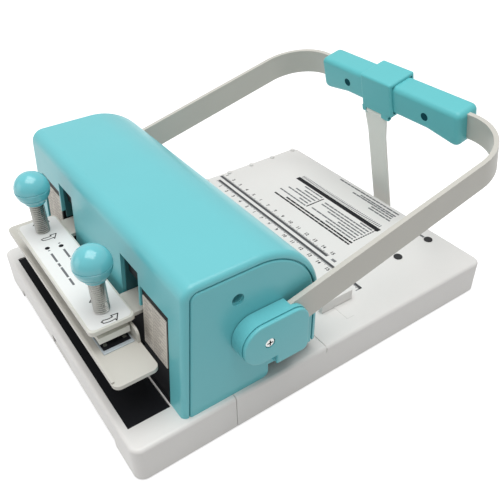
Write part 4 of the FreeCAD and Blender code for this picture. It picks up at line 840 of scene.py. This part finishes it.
# Ruler numbers: plain printed figures along both scales, in black ink.
# They number the steps of each scale.
def figure(work, words, x, y, size):
    """A printed number on the deck, centred on a point and read from the closer's side."""
    curve = bpy.data.curves.new("figure", "FONT")
    curve.body = words
    curve.size = size
    curve.align_x = "CENTER"
    curve.align_y = "CENTER"
    curve.extrude = ink_height / 2
    curve.offset = 0.12 * mm
    holder = bpy.data.objects.new("figure", curve)
    scene.collection.objects.link(holder)
    mesh = bpy.data.meshes.new_from_object(holder)
    mesh.transform(Matrix.Translation((x, y, deck + ink_height / 2)))
    work.from_mesh(mesh)
    bpy.data.objects.remove(holder)
    bpy.data.meshes.remove(mesh)


figure_size, figure_step = 5.0 * mm, 12.5 * mm
figure_rows = ((40.6 * mm, -112.5 * mm, 17), (59.4 * mm, -127.0 * mm, 15))
work = bmesh.new()
for row_y, first, count in figure_rows:
    for number in range(count):
        figure(work, str(number + 1), first + number * figure_step, row_y, figure_size)
bmesh.ops.remove_doubles(work, verts=work.verts, dist=0.002 * mm)
piece("deck_numbers", work, print_ink, "base")


# Deck chart: a printed table with a heavy head bar, a rule between columns, dashes and two bold rows.
# Its lines of print are plain bars of word length.
def word_row(work, seed, left, right, base, height, space):
    """A line of print as plain bars of word length, from left to right, in millimetres."""
    shortest, longest, least_room = 3.0, 9.0, 1.5
    draw = random.Random(seed)
    x = left
    while x < right - least_room:
        end = min(x + draw.uniform(shortest, longest), right)
        printed(work, x, base, end, base + height)
        x = end + space


head_bar, column_rule = (-77.0, 116.4, 47.5, 121.7), (-27.8, 90.0, -26.4, 113.5)
dash_count, dash_step, dash_start, dash_length = 10, 3.0, 88.0, 2.2
dash_left, dash_right = 44.6, 46.0
bold_rows = ((79.8, -68, 47), (83.6, -53, 47))
work = bmesh.new()
for mark in (head_bar, column_rule):
    printed(work, *mark)
for dash in range(dash_count):
    y = dash_start + dash_step * dash
    printed(work, dash_left, y, dash_right, y + dash_length)
for y, first, last in bold_rows:
    word_row(work, first, first, last, y, height=2.1, space=0.5)
piece("deck_chart", work, print_ink, "base")

# Deck fine print: the chart's small lines in two columns, its scale of fine ticks and a block of notes.
# It is printed in a thinner grey than the chart.
chart_rows = ((89.4, -71, -29), (93.9, -44, -29), (98.3, -68, -29), (103.0, -61, -29), (107.6, -52, -29),
              (112.8, -58, -29), (88.3, 4, 43), (92.4, -22, 43), (96.6, 13, 43), (100.6, -7, 43),
              (104.6, -21, 43), (108.8, -21, 43), (113.1, 27, 43))
note_rows = ((153.2, -47, 40), (148.6, -10, 40), (145.7, -19, 40), (142.2, 12, 40), (138.2, 12, 42))
note_mark = (72.0, 144.6, 80.0, 147.0)
scale_start, scale_step, scale_ticks, scale_foot, scale_top = -75.5, 2.4, 50, 122.8, 127.4
scale_tick_width = 1.0
work = bmesh.new()
for rows, height in ((chart_rows, 1.8), (note_rows, 1.9)):
    for y, first, last in rows:
        word_row(work, y, first, last, y, height, space=0.6)
for tick in range(scale_ticks):
    x = scale_start + scale_step * tick
    printed(work, x, scale_foot, x + scale_tick_width, scale_top)
printed(work, *note_mark)
piece("deck_fine_print", work, faint_ink, "base")

# Floor: a pale matt sheet that takes the shadow of the machine.
# The lens and the metal see it brighter than it is, so that it runs into the white surround.
floor_half, floor_tone, floor_glow = 1.5, 0.55, 0.7
floor_mesh = bpy.data.meshes.new("floor")
work = bmesh.new()
bmesh.ops.create_grid(work, x_segments=1, y_segments=1, size=floor_half)
work.to_mesh(floor_mesh)
work.free()
floor = bpy.data.objects.new("floor", floor_mesh)
scene.collection.objects.link(floor)
floor_white = bpy.data.materials.new("floor_white")
floor_white.use_nodes = True
tree = floor_white.node_tree
shader = tree.nodes["Principled BSDF"]
shader.inputs["Base Color"].default_value = (floor_tone, floor_tone, floor_tone, 1)
shader.inputs["Roughness"].default_value = 0.9
shader.inputs["Emission Color"].default_value = (1, 1, 1, 1)
path = node(tree, "ShaderNodeLightPath")
seen = scaled(tree, path.outputs["Is Camera Ray"], 1.0, path.outputs["Is Glossy Ray"])
seen = scaled(tree, path.outputs["Is Transmission Ray"], 1.0, seen)
tree.links.new(scaled(tree, seen, floor_glow, 0.0), shader.inputs["Emission Strength"])
floor_mesh.materials.append(floor_white)

# Surround: an even white light from all sides.
# It is plain white to the lens, and dimmer in reflections and as fill light.
ambient, glossy_share = 0.42, 0.5
world = bpy.data.worlds.new("surround")
scene.world = world
world.use_nodes = True
tree = world.node_tree
back = tree.nodes["Background"]
back.inputs["Color"].default_value = (1, 1, 1, 1)
path = node(tree, "ShaderNodeLightPath")
seen = scaled(tree, path.outputs["Is Camera Ray"], 1.0, path.outputs["Is Transmission Ray"])
seen = scaled(tree, path.outputs["Is Glossy Ray"], glossy_share, seen)
tree.links.new(scaled(tree, seen, 1.0 - ambient, ambient), back.inputs["Strength"])


# Lamps: a large soft box overhead, which gives most of the light.
# A weaker one stands low on the closer's side.
def soft_box(name, place, size, power):
    """A square area lamp that faces the middle of the machine."""
    machine = Vector((0, 0, 0.06))
    lamp = bpy.data.lights.new(name, "AREA")
    lamp.shape = "SQUARE"
    lamp.size = size
    lamp.energy = power
    holder = bpy.data.objects.new(name, lamp)
    holder.location = place
    holder.rotation_euler = (machine - Vector(place)).to_track_quat("-Z", "Y").to_euler()
    scene.collection.objects.link(holder)


soft_box("top_box", place=(0.1, -0.1, 1.7), size=1.4, power=24.0)
soft_box("key_box", place=(-0.6, -1.6, 0.5), size=1.0, power=3.5)
